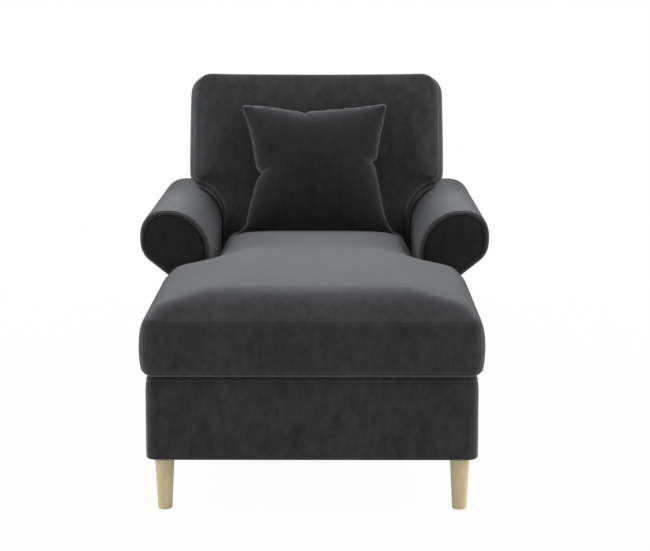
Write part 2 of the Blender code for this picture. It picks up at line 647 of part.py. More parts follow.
def add_seat_cushion(velvet):
    """The T cushion: its wings lie in front of the arms and its neck between them.

    Returns its rear face and its surface.
    """
    half, neck = SEAT_SEAM_HALF, CUSHION_NECK_HALF
    front = -SEAT_OVERHANG
    wing_rear = ARM_SETBACK - SEAT_ARM_GAP - CUSHION_BULGE
    rear_face = back_cushion_nearest() - SEAT_BACK_GAP
    rear = rear_face - CUSHION_BULGE
    tight, outer, inner = SEAT_FRONT_CORNER, SEAT_CORNER, SEAT_NECK_CORNER
    quarter = math.pi / 2
    front_corner = arc((half - tight, front + tight), (tight, tight), -quarter, 0, ARC_STEPS)
    wing_corner = arc((half - outer, wing_rear - outer), (outer, outer), 0, quarter, ARC_STEPS)
    inner_corner = arc((neck + inner, wing_rear + inner), (inner, inner), -quarter, -2 * quarter, ARC_STEPS)
    rear_corner = arc((neck - outer, rear - outer), (outer, outer), 0, quarter, ARC_STEPS)
    side = front_corner + wing_corner + inner_corner + rear_corner
    # The top rises slowly from its free edges, and at once where the arms and the back hold it.
    front_edge = [(0, front)] + front_corner[:-1]
    side_edge = front_corner[1:] + wing_corner[:-1]
    wing_edge = wing_corner[1:] + inner_corner[:2]
    neck_edge = inner_corner[1:] + rear_corner[:-1]
    rear_edge = rear_corner[1:] + [(0, rear)]
    held = [(wing_edge, SEAT_HELD_REACH), (rear_edge, SEAT_HELD_REACH)]
    crown_edges = held + [(front_edge, SEAT_FRONT_REACH), (neck_edge, SEAT_NECK_REACH)]
    dome_edges = held + [(front_edge, SEAT_DOME_REACH), (neck_edge, SEAT_DOME_NECK_REACH)]
    crowns = ((SEAT_EDGE_CROWN, crown_edges), (SEAT_BODY_CROWN, crown_edges), (SEAT_DOME, dome_edges))
    layers = [
        (crown, edges + [(side_edge, reach)])
        for (crown, edges), reach in zip(crowns, SEAT_SIDE_REACHES)
    ]
    foot = [(SEAT_SEAM_LOW, [([(0, front)] + side + [(0, rear)], SEAT_FOOT_REACH)])]
    low = (SEAT_LEVEL + SEAT_SEAM_LOW, foot)
    high = (BASE_TOP + SEAT_SEAM_HIGH, layers)
    shape = box_cushion_shape(spread(side), low, high)
    surface = BVHTree.FromBMesh(shape)
    add_mesh("seat_cushion", shape, velvet)
    return rear_face, surface


def add_scatter_cushion(seat_surface, velvet):
    """A knife-edge cushion with pulled-in sides, slumped a little, leaning on the back from the seat."""
    half_width, half_height = SCATTER_WIDTH / 2, SCATTER_HEIGHT / 2
    shape = bmesh.new()
    marks = [math.sin(math.pi / 2 * (2 * i / SCATTER_CELLS - 1)) for i in range(SCATTER_CELLS + 1)]
    sheets = []
    for sign in (-1, 1):
        sheet = []
        for v in marks:
            row = []
            for u in marks:
                x = half_width * u * (1 - SCATTER_SIDE_DRAW * (1 - v * v))
                power = 2 if v > 0 else SCATTER_FOOT_POWER
                y = half_height * v * (1 - SCATTER_TOP_DRAW * (1 - abs(u) ** power))
                fill = math.sqrt((1 - u * u) * (1 - v * v))
                row.append(shape.verts.new((x, y, sign * (SCATTER_EDGE / 2 + SCATTER_HALF_THICKNESS * fill))))
            sheet.append(row)
        sheets.append(sheet)
    for sheet in sheets:
        for j in range(SCATTER_CELLS):
            for i in range(SCATTER_CELLS):
                shape.faces.new((sheet[j][i], sheet[j][i + 1], sheet[j + 1][i + 1], sheet[j + 1][i]))
    last = SCATTER_CELLS
    rim = [(0, i) for i in range(last)] + [(j, last) for j in range(last)]
    rim += [(last, i) for i in range(last, 0, -1)] + [(j, 0) for j in range(last, 0, -1)]
    for (j, i), (m, n) in zip(rim, rim[1:] + rim[:1]):
        shape.faces.new((sheets[0][j][i], sheets[0][m][n], sheets[1][m][n], sheets[1][j][i]))
    bmesh.ops.rotate(shape, matrix=Matrix.Rotation(math.pi / 2 - SCATTER_LEAN, 3, "X"), verts=shape.verts)
    bmesh.ops.translate(shape, vec=(0, 0, BACK_FRAME_TOP), verts=shape.verts)
    # Down to the seat, back to the back cushion, and once more, because the one place changes the other.
    for _ in range(3):
        room = min(raked(-BACK_CROWN, corner.co.z) - corner.co.y for corner in shape.verts)
        bmesh.ops.translate(shape, vec=(0, room - FIT, 0), verts=shape.verts)
        gaps = []
        for corner in shape.verts:
            above = Vector((corner.co.x, corner.co.y, BACK_TOP))
            place = seat_surface.ray_cast(above, Vector((0, 0, -1)))[0]
            if place is not None:
                gaps.append(corner.co.z - place.z)
        bmesh.ops.translate(shape, vec=(0, 0, FIT - min(gaps)), verts=shape.verts)
    add_mesh("scatter_cushion", shape, velvet)


def add_zip(rear_face, tape, slider):
    """A zip along the rear border of the seat cushion, its slider at the closed end."""
    middle = BASE_TOP + (SEAT_SEAM_LOW + SEAT_SEAM_HIGH) / 2
    start = rear_face + FIT
    tape_face = start + ZIP_TAPE_THICKNESS
    chain_face = tape_face + ZIP_CHAIN_THICKNESS
    chain, tall = ZIP_CHAIN_HEIGHT / 2, ZIP_TAPE_HEIGHT / 2
    section = [
        (start, -tall),
        (tape_face, -tall),
        (tape_face, -chain),
        (chain_face, -chain),
        (chain_face, chain),
        (tape_face, chain),
        (tape_face, tall),
        (start, tall),
    ]
    points = [(-ZIP_LENGTH / 2, y, middle + z) for y, z in section]
    add_mesh("seat_zip", extrude_outline(points, (ZIP_LENGTH, 0, 0)), tape)

    near = chain_face + FIT
    far = near + ZIP_SLIDER_THICKNESS
    pull = near + ZIP_PULL_THICKNESS
    tall = ZIP_SLIDER_HEIGHT / 2
    outline = [(near, tall), (far, tall), (far, -tall), (pull, -tall)]
    outline += [(pull, -tall - ZIP_PULL_LENGTH), (near, -tall - ZIP_PULL_LENGTH)]
    closed_end = ZIP_LENGTH / 2
    points = [(closed_end, y, middle + z) for y, z in outline]
    add_mesh("seat_zip_slider", extrude_outline(points, (-ZIP_SLIDER_LENGTH, 0, 0)), slider)


def main():
    for old in list(bpy.data.objects):
        bpy.data.objects.remove(old, do_unlink=True)
    velvet = material("charcoal_velvet", (0.030, 0.031, 0.034), 0.85)
    oak = material("pale_oak", (0.53, 0.41, 0.25), 0.45)
    timber = material("frame_timber", (0.55, 0.42, 0.27), 0.70)
    cloth = material("black_platform_cloth", (0.02, 0.02, 0.02), 0.90)
    steel = material("spring_steel", (0.42, 0.42, 0.43), 0.35, 1.0)
    plastic = material("black_glide_plastic", (0.03, 0.03, 0.03), 0.50)
    zip_tape = material("zip_tape", (0.02, 0.02, 0.022), 0.80)
    zip_metal = material("zip_metal", (0.30, 0.30, 0.31), 0.40, 1.0)

    add_base(velvet, timber, cloth)
    add_legs(oak, timber, steel, plastic, cloth)
    add_springs(steel)
    for side, sign in (("left", -1), ("right", 1)):
        add_arm(side, sign, velvet, timber)
    add_back_frame(velvet, timber)
    add_back_cushion(velvet)
    seat_rear_face, seat_surface = add_seat_cushion(velvet)
    add_scatter_cushion(seat_surface, velvet)
    add_zip(seat_rear_face, zip_tape, zip_metal)

    front = -SEAT_OVERHANG - CUSHION_BULGE
    rear = raked(OUTSIDE_BACK_AT + OUTSIDE_BACK_THICKNESS, BACK_FRAME_TOP)
    chair = bpy.data.objects.new("chaise_longue", None)
    bpy.context.scene.collection.objects.link(chair)
    for piece in bpy.data.objects:
        if piece is not chair and piece.parent is None:
            piece.parent = chair
    chair.location.y = -(front + rear) / 2


main()
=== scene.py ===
"""Looks of the long armchair: velvet cushions, arms and covers, oak legs, light and camera.

Metres, in the frame of the CAD model: +Z is up and the sitter faces -Y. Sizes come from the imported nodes
and from the named values below, which repeat those of the part where a node's box doesn't give them.
"""

import json
import math

import bmesh
import bpy
import numpy as np
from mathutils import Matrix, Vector, bvhtree, geometry, kdtree


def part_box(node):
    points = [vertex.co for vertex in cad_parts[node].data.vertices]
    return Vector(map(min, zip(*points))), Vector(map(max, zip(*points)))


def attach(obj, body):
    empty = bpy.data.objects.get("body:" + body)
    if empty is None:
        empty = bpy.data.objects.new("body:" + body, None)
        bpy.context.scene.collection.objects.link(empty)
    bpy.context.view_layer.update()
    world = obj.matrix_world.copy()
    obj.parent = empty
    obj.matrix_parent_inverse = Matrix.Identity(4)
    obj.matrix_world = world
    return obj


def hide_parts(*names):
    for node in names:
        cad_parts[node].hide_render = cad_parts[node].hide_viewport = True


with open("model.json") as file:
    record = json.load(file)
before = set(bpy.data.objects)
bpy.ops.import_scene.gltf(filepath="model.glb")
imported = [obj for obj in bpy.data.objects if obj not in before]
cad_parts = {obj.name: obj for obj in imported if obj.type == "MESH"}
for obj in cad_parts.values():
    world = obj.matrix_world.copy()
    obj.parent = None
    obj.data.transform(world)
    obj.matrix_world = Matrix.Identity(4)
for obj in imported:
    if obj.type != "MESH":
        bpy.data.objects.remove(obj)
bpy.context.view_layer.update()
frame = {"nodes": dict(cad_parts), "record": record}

# Places of the CAD nodes
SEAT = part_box("seat_cushion")
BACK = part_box("back_cushion")
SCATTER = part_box("scatter_cushion")
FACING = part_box("arm_facing_right")
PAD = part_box("arm_pad_right")
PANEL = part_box("arm_outside_panel_right")
REAR_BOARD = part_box("arm_rear_board_right")
BASE_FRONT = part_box("base_border_front")
BASE_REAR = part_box("base_border_rear")
BACK_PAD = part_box("back_pad")
OUTSIDE_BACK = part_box("outside_back")
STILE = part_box("back_stile_right")
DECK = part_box("seat_deck")
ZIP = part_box("seat_zip")
REAR_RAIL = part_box("rail_rear")

# Sizes shared with the part
FIT = 0.0003
BULGE = 0.0125
RAKE = math.tan(math.radians(11))
SEAT_CROWN = 0.074
SEAT_FRONT_CORNER = 0.022
SEAT_REAR_CORNER = 0.050
SEAT_NECK_CORNER = 0.030
SEAT_ARM_GAP = 0.003
NECK_CLEARANCE = 0.015
BACK_THICKNESS = 0.180
BACK_CROWN = 0.045
BACK_CROWN_REACH = 0.105
BACK_REAR_CROWN = 0.004
BACK_FOOT_CORNER = 0.030
BACK_FRAME_CLEARANCE = 0.007
SCATTER_LEAN = math.radians(29)
SCROLL_RADIUS = 0.074
SCROLL_OUTSET = 0.0015
SCROLL_SHOULDER_DROP = 0.042
SCROLL_TUCK = math.radians(50.5)
SCROLL_FULLNESS = 2.4
ARM_PAD_THICKNESS = 0.022
PIPING_RADIUS = 0.0045
FACING_INSET = 2 * PIPING_RADIUS + 3 * FIT

# Places that follow from them
BASE_HALF = BASE_FRONT[1][0]
BASE_TOP = BASE_FRONT[1][2]
BASE_BOTTOM = BASE_FRONT[0][2]
SEAT_LEVEL = BASE_TOP + FIT
ARM_INNER = PAD[0][0]
SCROLL_CENTRE_X = BASE_HALF + SCROLL_OUTSET
SCROLL_TOP_Z = PAD[1][2]
SCROLL_CENTRE_Z = SCROLL_TOP_Z - SCROLL_RADIUS
SCROLL_SHOULDER_Z = SCROLL_CENTRE_Z - SCROLL_SHOULDER_DROP
NECK_HALF = ARM_INNER - NECK_CLEARANCE
BACK_REACH = BACK_THICKNESS + BACK_REAR_CROWN
BACK_FRONT = BACK_PAD[0][1] - (BACK_PAD[0][2] - BASE_TOP) * RAKE - BACK_REACH - FIT
QUARTER = math.pi / 2
SIDES = (("left", -1), ("right", 1))


# Materials, with noise scales per metre

NAP_SCALE = 40.0
NAP_BROAD_SCALE = 6.0
PILE_SCALE = 900.0
VELVET_SHEEN = {"Sheen_Weight": 0.36, "Sheen_Roughness": 0.50, "Sheen_Tint": (0.94, 0.96, 1.0, 1.0)}
WOOD_GRAIN_SCALE = 240.0
WOOD_BAND_SCALE = 60.0
WEAVE_SCALE = 180.0


def new_material(name):
    made = bpy.data.materials.new(name)
    made.use_nodes = True
    return made, made.node_tree, made.node_tree.nodes["Principled BSDF"]


def feed(tree, node, **sockets):
    """Sets inputs of a node, by name, to numbers or colours, or links them to outputs."""
    for name, value in sockets.items():
        socket = node.inputs[name.replace("_", " ")]
        if isinstance(value, bpy.types.NodeSocket):
            tree.links.new(value, socket)
        else:
            socket.default_value = value


def add_node(tree, kind, settings=None, **sockets):
    """Adds a node. Settings are its own fields, and sockets are fed to its inputs."""
    made = tree.nodes.new(kind)
    for field, value in (settings or {}).items():
        setattr(made, field, value)
    feed(tree, made, **sockets)
    return made


def ramp(tree, fac, *stops):
    """A colour between two stops, each a place along fac and its colour."""
    made = add_node(tree, "ShaderNodeValToRGB", Fac=fac)
    for place, (at, colour) in zip(made.color_ramp.elements, stops):
        place.position = at
        place.color = (*colour, 1.0)
    return made.outputs["Color"]


def scaled(tree, scale=(1.0, 1.0, 1.0)):
    """Object coordinates, which are metres in the CAD frame, stretched by scale along each axis."""
    place = add_node(tree, "ShaderNodeTexCoord").outputs["Object"]
    return add_node(tree, "ShaderNodeMapping", Vector=place, Scale=scale).outputs["Vector"]


def cloud(tree, place, scale, detail, roughness=0.5, distortion=0.0):
    sockets = {"Scale": scale, "Detail": detail, "Roughness": roughness, "Distortion": distortion}
    return add_node(tree, "ShaderNodeTexNoise", Vector=place, **sockets).outputs["Fac"]


def blended(tree, share, first, second):
    settings = {"data_type": "FLOAT"}
    return add_node(tree, "ShaderNodeMix", settings, Factor=share, A=first, B=second).outputs["Result"]


def ranged(tree, value, low, high):
    return add_node(tree, "ShaderNodeMapRange", Value=value, To_Min=low, To_Max=high).outputs["Result"]


def bumped(tree, height, strength, distance, **below):
    made = add_node(tree, "ShaderNodeBump", Height=height, Strength=strength, Distance=distance, **below)
    return made.outputs["Normal"]


def velvet_material(name, dark, light):
    """Cut velvet: brushed patches of nap, a fine pile and a grazing sheen."""
    made, tree, shader = new_material(name)
    patches = cloud(tree, scaled(tree, (1.0, 1.0, 0.6)), NAP_SCALE, 6.0, 0.70, 0.25)
    broad = cloud(tree, scaled(tree, (1.0, 0.6, 1.0)), NAP_BROAD_SCALE, 2.0)
    pile = cloud(tree, scaled(tree), PILE_SCALE, 2.0, 0.7)
    nap = blended(tree, 0.30, patches, broad)
    colour = ramp(tree, blended(tree, 0.12, nap, pile), (0.32, dark), (0.68, light))
    normal = bumped(tree, pile, 0.4, 0.0010, Normal=bumped(tree, nap, 0.35, 0.004))
    feed(tree, shader, Base_Color=colour, Roughness=ranged(tree, nap, 0.78, 0.95), Normal=normal)
    feed(tree, shader, Specular_IOR_Level=0.0, **VELVET_SHEEN)
    return made


def wood_material(name, dark, light, roughness):
    """Wood with its grain along Z."""
    made, tree, shader = new_material(name)
    grain = cloud(tree, scaled(tree, (1.0, 1.0, 0.06)), WOOD_GRAIN_SCALE, 4.0, 0.6)
    bands = cloud(tree, scaled(tree, (1.0, 1.0, 0.12)), WOOD_BAND_SCALE, 2.0, 0.5, 0.6)
    colour = ramp(tree, blended(tree, 0.45, bands, grain), (0.32, dark), (0.68, light))
    gloss = ranged(tree, grain, roughness - 0.08, roughness + 0.10)
    feed(tree, shader, Base_Color=colour, Roughness=gloss, Normal=bumped(tree, grain, 0.12, 0.0004))
    return made


def woven_material(name, dark, light):
    """Plain cloth with a visible weave."""
    made, tree, shader = new_material(name)
    place = scaled(tree)
    threads = []
    for way in ("X", "Y"):
        wave = add_node(tree, "ShaderNodeTexWave", {"bands_direction": way}, Vector=place, Scale=WEAVE_SCALE)
        threads.append(wave.outputs["Fac"])
    weave = blended(tree, 0.5, *threads)
    colour = ramp(tree, weave, (0.2, dark), (0.8, light))
    gloss = ranged(tree, weave, 0.85, 0.95)
    feed(tree, shader, Base_Color=colour, Roughness=gloss, Normal=bumped(tree, weave, 0.3, 0.0005))
    return made


def hard_material(name, dark, light, rough, metallic, scale):
    """Metal, plastic or thread with faint variation of colour and gloss."""
    made, tree, shader = new_material(name)
    marks = cloud(tree, scaled(tree), scale, 4.0)
    colour = ramp(tree, marks, (0.35, dark), (0.65, light))
    feed(tree, shader, Base_Color=colour, Roughness=ranged(tree, marks, *rough), Metallic=metallic)
    return made


FINISHES = {
    "velvet": velvet_material("charcoal_velvet", (0.021, 0.0214, 0.0222), (0.051, 0.0516, 0.0533)),
    "leg_oak": wood_material("pale_oak", (0.60, 0.465, 0.265), (0.78, 0.645, 0.40), 0.42),
    "frame_timber": wood_material("frame_timber", (0.44, 0.32, 0.19), (0.60, 0.46, 0.30), 0.70),
    "platform_cloth": woven_material("platform_cloth", (0.010, 0.010, 0.010), (0.028, 0.028, 0.029)),
    "spring_steel": hard_material("spring_steel", (0.36,) * 3, (0.48,) * 3, (0.28, 0.42), 1.0, 120.0),
    "bolt_steel": hard_material("bolt_steel", (0.50,) * 3, (0.61,) * 3, (0.25, 0.40), 1.0, 200.0),
    "glide_plastic": hard_material("glide_plastic", (0.024,) * 3, (0.036,) * 3, (0.42, 0.58), 0.0, 300.0),
    "zip_tape": woven_material("zip_tape", (0.008, 0.008, 0.009), (0.024, 0.024, 0.026)),
    "zip_metal": hard_material("zip_metal", (0.09,) * 3, (0.12,) * 3, (0.30, 0.45), 1.0, 300.0),
}
# Darker copies of the velvet with painted shade: the arms' fronts, set back behind the seat, and the scatter
# cushion get a darker colour for the shade that falls on them
VELVET_PAINTED_SHADE = velvet_material("charcoal_velvet_painted_shade", (0.009, 0.0092, 0.0096), (0.025, 0.0253, 0.0261))
# The darkest copy is the scatter cushion's painted deep shade
VELVET_PAINTED_DEEP_SHADE = velvet_material(
    "charcoal_velvet_painted_deep_shade", (0.0056, 0.0057, 0.0060), (0.0180, 0.0182, 0.0188)
)
THREAD = hard_material(
    "charcoal_thread", (0.050, 0.051, 0.054), (0.080, 0.081, 0.085), (0.55, 0.70), 0.0, 800.0
)


# Making pieces

def add_piece(name, points, faces, body="frame", slot="velvet", replaces=(), finish=None):
    mesh = bpy.data.meshes.new(name)
    mesh.from_pydata([tuple(map(float, p)) for p in points], [], [tuple(map(int, f)) for f in faces])
    shape = bmesh.new()
    shape.from_mesh(mesh)
    bmesh.ops.recalc_face_normals(shape, faces=shape.faces)
    shape.to_mesh(mesh)
    shape.free()
    mesh.shade_smooth()
    return dressed(name, mesh, body, slot, replaces, finish)


def dressed(name, data, body, slot, replaces=(), finish=None):
    """Puts a piece in the scene with its finish, on the body that it moves with."""
    data.materials.append(finish or FINISHES[slot])
    piece = bpy.data.objects.new(name, data)
    bpy.context.scene.collection.objects.link(piece)
    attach(piece, body)
    if replaces:
        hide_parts(*replaces)
    return piece


def add_tube(name, points, radius, closed, body="frame", replaces=(), resolution=3):
    curve = bpy.data.curves.new(name, "CURVE")
    curve.dimensions = "3D"
    curve.bevel_depth = radius
    curve.bevel_resolution = resolution
    curve.use_fill_caps = not closed
    spline = curve.splines.new("POLY")
    spline.points.add(len(points) - 1)
    spline.use_cyclic_u = closed
    for place, point in zip(spline.points, points):
        place.co = (*map(float, point), 1.0)
    dressed(name, curve, body, "velvet", replaces)


# A direction that no row of stitches runs along
STITCH_ASKEW = (0.31, 0.17, 0.93)


def add_stitches(name, path, body, length=0.0042, gap=0.0014, radius=0.0006, sides=6):
    """A row of short rounded stitches of thread along a closed path."""
    marks = evened(path, length + gap)
    along = np.roll(marks, -1, axis=0) - marks
    along /= np.linalg.norm(along, axis=1, keepdims=True)
    across = np.cross(along, STITCH_ASKEW)
    across /= np.linalg.norm(across, axis=1, keepdims=True)
    third = np.cross(along, across)
    angles = math.tau * np.arange(sides) / sides
    round_off = [radius * (np.cos(a) * across + np.sin(a) * third) for a in angles]
    rows = [marks]
    for share in (0.2, 0.8):
        rows += [marks + share * length * along + offset for offset in round_off]
    rows.append(marks + length * along)
    count = len(rows)
    points = np.stack(rows, axis=1).reshape(-1, 3)
    one = []
    for k in range(sides):
        n = (k + 1) % sides
        one += [(0, 1 + n, 1 + k), (1 + k, 1 + n, 1 + sides + n, 1 + sides + k)]
        one.append((count - 1, 1 + sides + k, 1 + sides + n))
    faces = [tuple(k * count + i for i in face) for k in range(len(marks)) for face in one]
    add_piece(name, points, faces, body, finish=THREAD)


def arc(centre, radius, start, end, steps=14):
    """An arc of a circle, or of an ellipse if radius is a pair."""
    angles = np.linspace(start, end, steps + 1)
    across, up = np.broadcast_to(radius, 2)
    return [(centre[0] + across * math.cos(a), centre[1] + up * math.sin(a)) for a in angles]


def full_arc(centre, radius, start, end, steps):
    """An arc that is a little squarer than a circle, as a stuffed roll is."""
    angles = np.linspace(start, end, steps + 1)
    turns = np.column_stack([np.cos(angles), np.sin(angles)])
    offsets = radius * np.sign(turns) * np.abs(turns) ** (2 / SCROLL_FULLNESS)
    return [tuple(place) for place in centre + offsets]


def rounded(low, high, radius, steps):
    """A rectangle with round corners, anticlockwise from its lower right one."""
    left, right = low[0] + radius, high[0] - radius
    bottom, top = low[1] + radius, high[1] - radius
    path = []
    for k, centre in enumerate(((right, bottom), (right, top), (left, top), (left, bottom))):
        path += arc(centre, radius, (k - 1) * QUARTER, k * QUARTER, steps)
    return path


def flipped(side):
    return [(-x, y) for x, y in side]


def mirrored(side):
    """A whole outline from its right-hand half."""
    return side + flipped(side)[::-1]


def closed_path(loop):
    return np.vstack([loop, loop[:1]])


def evened(path, spacing, closed=True):
    """The same path with points at even distances along it."""
    points = np.array(path, float)
    if closed:
        points = closed_path(points)
    steps = np.linalg.norm(np.diff(points, axis=0), axis=1)
    along = np.concatenate([[0.0], np.cumsum(steps)])
    count = max(3, round(along[-1] / spacing))
    marks = np.linspace(0.0, along[-1], count + 1)
    if closed:
        marks = marks[:-1]
    return np.stack([np.interp(marks, along, column) for column in points.T], axis=1)


def smooth_run(points, steps=8):
    """A smooth curve through the points."""
    knots = np.array(points, float)
    knots = np.vstack([2 * knots[0] - knots[1], knots, 2 * knots[-1] - knots[-2]])
    run = []
    for p, q, r, s in zip(knots, knots[1:], knots[2:], knots[3:]):
        for t in np.arange(steps) / steps:
            square = (2 * p - 5 * q + 4 * r - s) * t**2
            cube = (3 * q - p - 3 * r + s) * t**3
            run.append(0.5 * (2 * q + (r - p) * t + square + cube))
    return run + [knots[-2]]


def loop_normals(loop):
    """Outward unit normals of a loop that runs anticlockwise."""
    along = np.roll(loop, -1, axis=0) - np.roll(loop, 1, axis=0)
    normal = np.stack([along[:, 1], -along[:, 0]], axis=1)
    return normal / np.linalg.norm(normal, axis=1, keepdims=True)


NET_CLEARANCE = 0.7
CROWN_POWER = 2.2


def fill_loop(loop, spacing):
    """An even net of triangles inside a loop: its points, the loop's first, and its faces."""
    low, high = loop.min(axis=0), loop.max(axis=0)
    tree = kdtree.KDTree(len(loop))
    for k, (x, y) in enumerate(loop):
        tree.insert((x, y, 0.0), k)
    tree.balance()
    normals = loop_normals(loop)
    row_step = spacing * math.sqrt(3) / 2
    inside = []
    for j in range(int((high[1] - low[1]) / row_step) + 2):
        for i in range(int((high[0] - low[0]) / spacing) + 2):
            place = np.array((low[0] + (i + 0.5 * (j % 2)) * spacing, low[1] + j * row_step))
            _, k, distance = tree.find((*place, 0.0))
            if distance > NET_CLEARANCE * spacing and (place - loop[k]) @ normals[k] < 0:
                inside.append(place)
    points = [Vector(p) for p in loop] + [Vector(p) for p in inside]
    made = geometry.delaunay_2d_cdt(points, [], [list(range(len(loop)))], 1, 1e-7)
    return np.array([tuple(p) for p in made[0]]), [tuple(f) for f in made[2]]


def path_distance(places, path):
    """Shortest distance from each place to a path of straight spans."""
    path = np.array(path, float)
    start, span = path[:-1], np.diff(path, axis=0)
    length = np.maximum((span**2).sum(axis=1), 1e-12)
    offset = places[:, None, :] - start
    along = np.clip((offset * span).sum(axis=2) / length, 0.0, 1.0)
    return np.linalg.norm(offset - along[..., None] * span, axis=2).min(axis=1)


def rising(loop, crown, reach):
    """A function for the height of a panel that rises from a loop over a reach, and is level further in."""
    def rise(places):
        share = np.minimum(path_distance(places, closed_path(loop)) / reach, 1.0)
        return crown * (1 - (1 - share) ** CROWN_POWER)

    return rise


def net_edges(net):
    return np.array(sorted({tuple(sorted(pair)) for f in net for pair in zip(f, f[1:] + f[:1])}))


def spread(values, edges, rounds, held):
    """Evens out values along the edges of a net, apart from those of the held points."""
    kept = values[held]
    degree = np.bincount(edges.ravel(), minlength=len(values))
    degree = degree.reshape((-1,) + (1,) * (values.ndim - 1))
    for _ in range(rounds):
        total = np.zeros_like(values)
        np.add.at(total, edges[:, 0], values[edges[:, 1]])
        np.add.at(total, edges[:, 1], values[edges[:, 0]])
        values = (values + total / degree) / 2
        values[held] = kept
    return values


def puffed(loop, spacing, rounds=2000):
    """Height, from 0 to 1, of a blown-up panel held along a loop, for the points that fill_loop makes.

    The level starts from a guess by distance to the loop, and the rounds settle it.
    """
    flat, net = fill_loop(loop, spacing)
    first, second = net_edges(net).T
    count = len(flat)
    degree = np.maximum(np.bincount(np.concatenate([first, second]), minlength=count), 1)
    away = path_distance(flat, closed_path(loop))
    level = away * (2 * away.max() - away) / 3
    for _ in range(rounds):
        total = np.bincount(first, level[second], count) + np.bincount(second, level[first], count)
        level = total / degree + spacing**2 / 4
        level[: len(loop)] = 0.0
    return np.sqrt(level / level.max())


def no_rise(places):
    return np.zeros(len(places))


DRAW_NEAR = 0.004
DRAW_SPREAD = 0.8
DRAW_FADE = 0.04


def drawn_in(flat, loop, shift):
    """Moves a net with the shift of its loop, less and less towards its middle."""
    gaps = np.linalg.norm(flat[:, None] - loop, axis=2)
    near = gaps.min(axis=1, keepdims=True)
    weight = np.exp((near**2 - gaps**2) / (DRAW_NEAR + DRAW_SPREAD * near) ** 2)
    weight /= weight.sum(axis=1, keepdims=True)
    return flat + weight @ shift * np.exp(-((near / DRAW_FADE) ** 2))


def band(below, above):
    """Faces between two closed rings of points, given by their indices."""
    return list(zip(below, np.roll(below, -1), np.roll(above, -1), above))


def stuffed(loop, spacing, rows, rises, rounds=0):
    """A cushion over an anticlockwise loop: two crowned panels with rows of points between their edges.

    rows are (height, outset from the loop), from the lower panel's edge to the upper one's; a single row is
    a seam that both share. rises give each panel's crown from its flat points, and rounds of spreading even
    it out. Returns points as (u, v, height), faces, and the indices of each row's points.
    """
    count = len(loop)
    seam = np.arange(count)
    normals = loop_normals(loop)
    flat, net = fill_loop(loop, spacing)
    edges = net_edges(net)

    def outward(outset):
        return normals * np.broadcast_to(outset, count)[:, None]

    panels = []
    for (height, outset), rise, sign in zip((rows[0], rows[-1]), rises, (-1, 1)):
        crown = rise(flat)
        crown[seam] = 0.0
        crown = spread(crown, edges, rounds, seam)
        panels.append(np.column_stack([drawn_in(flat, loop, outward(outset)), height + sign * crown]))
    points = [panels[0]]
    rings = [seam]
    start = len(flat)
    for height, outset in rows[1:-1]:
        points.append(np.column_stack([loop + outward(outset), np.full(count, height)]))
        rings.append(start + seam)
        start += count
    if len(rows) > 1:
        points.append(panels[1])
        top = start + np.arange(len(flat))
        rings.append(top[:count])
    else:
        points.append(panels[1][count:])
        top = np.concatenate([seam, start + np.arange(len(flat) - count)])
    faces = [face[::-1] for face in net] + [tuple(top[list(face)]) for face in net]
    for below, above in zip(rings, rings[1:]):
        faces += band(below, above)
    return np.concatenate(points), faces, rings


def skin(rings, closed=True):
    """Points and faces of a surface through rings of equal counts. If closed, the last joins the first."""
    points = [p for ring in rings for p in ring]
    ids = list(np.arange(len(points)).reshape(len(rings), -1))
    following = ids[1:] + ids[:1] if closed else ids[1:]
    return points, [face for pair in zip(ids, following) for face in band(*pair)]


def coordinates(mesh):
    places = np.empty(len(mesh.vertices) * 3, np.float32)
    mesh.vertices.foreach_get("co", places)
    return places.reshape(-1, 3).astype(float)


def set_coordinates(mesh, places):
    mesh.vertices.foreach_set("co", np.ascontiguousarray(places, np.float32).ravel())
    mesh.update()


def lifted(mesh, ids, height):
    """Places of some points of a mesh, raised off its surface."""
    return np.array([mesh.vertices[int(k)].co + mesh.vertices[int(k)].normal * height for k in ids])


CLOTH_FRAMES = 16
CLOTH = {
    "vertex_group_mass": "seams",
    "quality": 6,
    "mass": 0.15,
    "tension_stiffness": 15.0,
    "compression_stiffness": 15.0,
    "shear_stiffness": 5.0,
    "bending_stiffness": 0.5,
    "use_pressure": True,
}


def inflate(piece, held, pressure, cap, evening=0):
    """Blows a closed cover up as cloth, held along its seams. No point moves further than about cap.

    evening is how many rounds smooth the small folds of the blown-up cloth away.
    """
    scene = bpy.context.scene
    rest = coordinates(piece.data)
    cloth = piece.modifiers.new("fill", "CLOTH")
    group = piece.vertex_groups.new(name=CLOTH["vertex_group_mass"])
    group.add([int(k) for k in held], 1.0, "REPLACE")
    settings = cloth.settings
    for field, value in CLOTH.items():
        setattr(settings, field, value)
    settings.uniform_pressure_force = pressure
    settings.effector_weights.gravity = 0.0
    cloth.collision_settings.use_collision = False
    cloth.point_cache.frame_start = 1
    cloth.point_cache.frame_end = CLOTH_FRAMES
    for step in range(1, CLOTH_FRAMES + 1):
        scene.frame_set(step)
    graph = bpy.context.evaluated_depsgraph_get()
    moved = coordinates(piece.evaluated_get(graph).data)
    piece.modifiers.remove(cloth)
    piece.vertex_groups.clear()
    scene.frame_set(1)
    ends = np.array([tuple(edge.vertices) for edge in piece.data.edges])
    shift = spread(moved - rest, ends, evening, np.array(held))
    length = np.maximum(np.linalg.norm(shift, axis=1, keepdims=True), 1e-9)
    set_coordinates(piece.data, rest + shift * (cap * np.tanh(length / cap) / length))


def subdivide(piece):
    smooth = piece.modifiers.new("smooth", "SUBSURF")
    smooth.levels = 1
    smooth.render_levels = 1


# Seat cushion

SEAT_SPACING = 0.012
SEAT_ROWS = (0.036, 0.10, 0.20, 0.34, 0.50, 0.66, 0.80, 0.88, 0.942)
SEAT_PRESSURE = 1.5
SEAT_SWELL = 0.0015
SEAT_SEAM_LOW = 0.0080
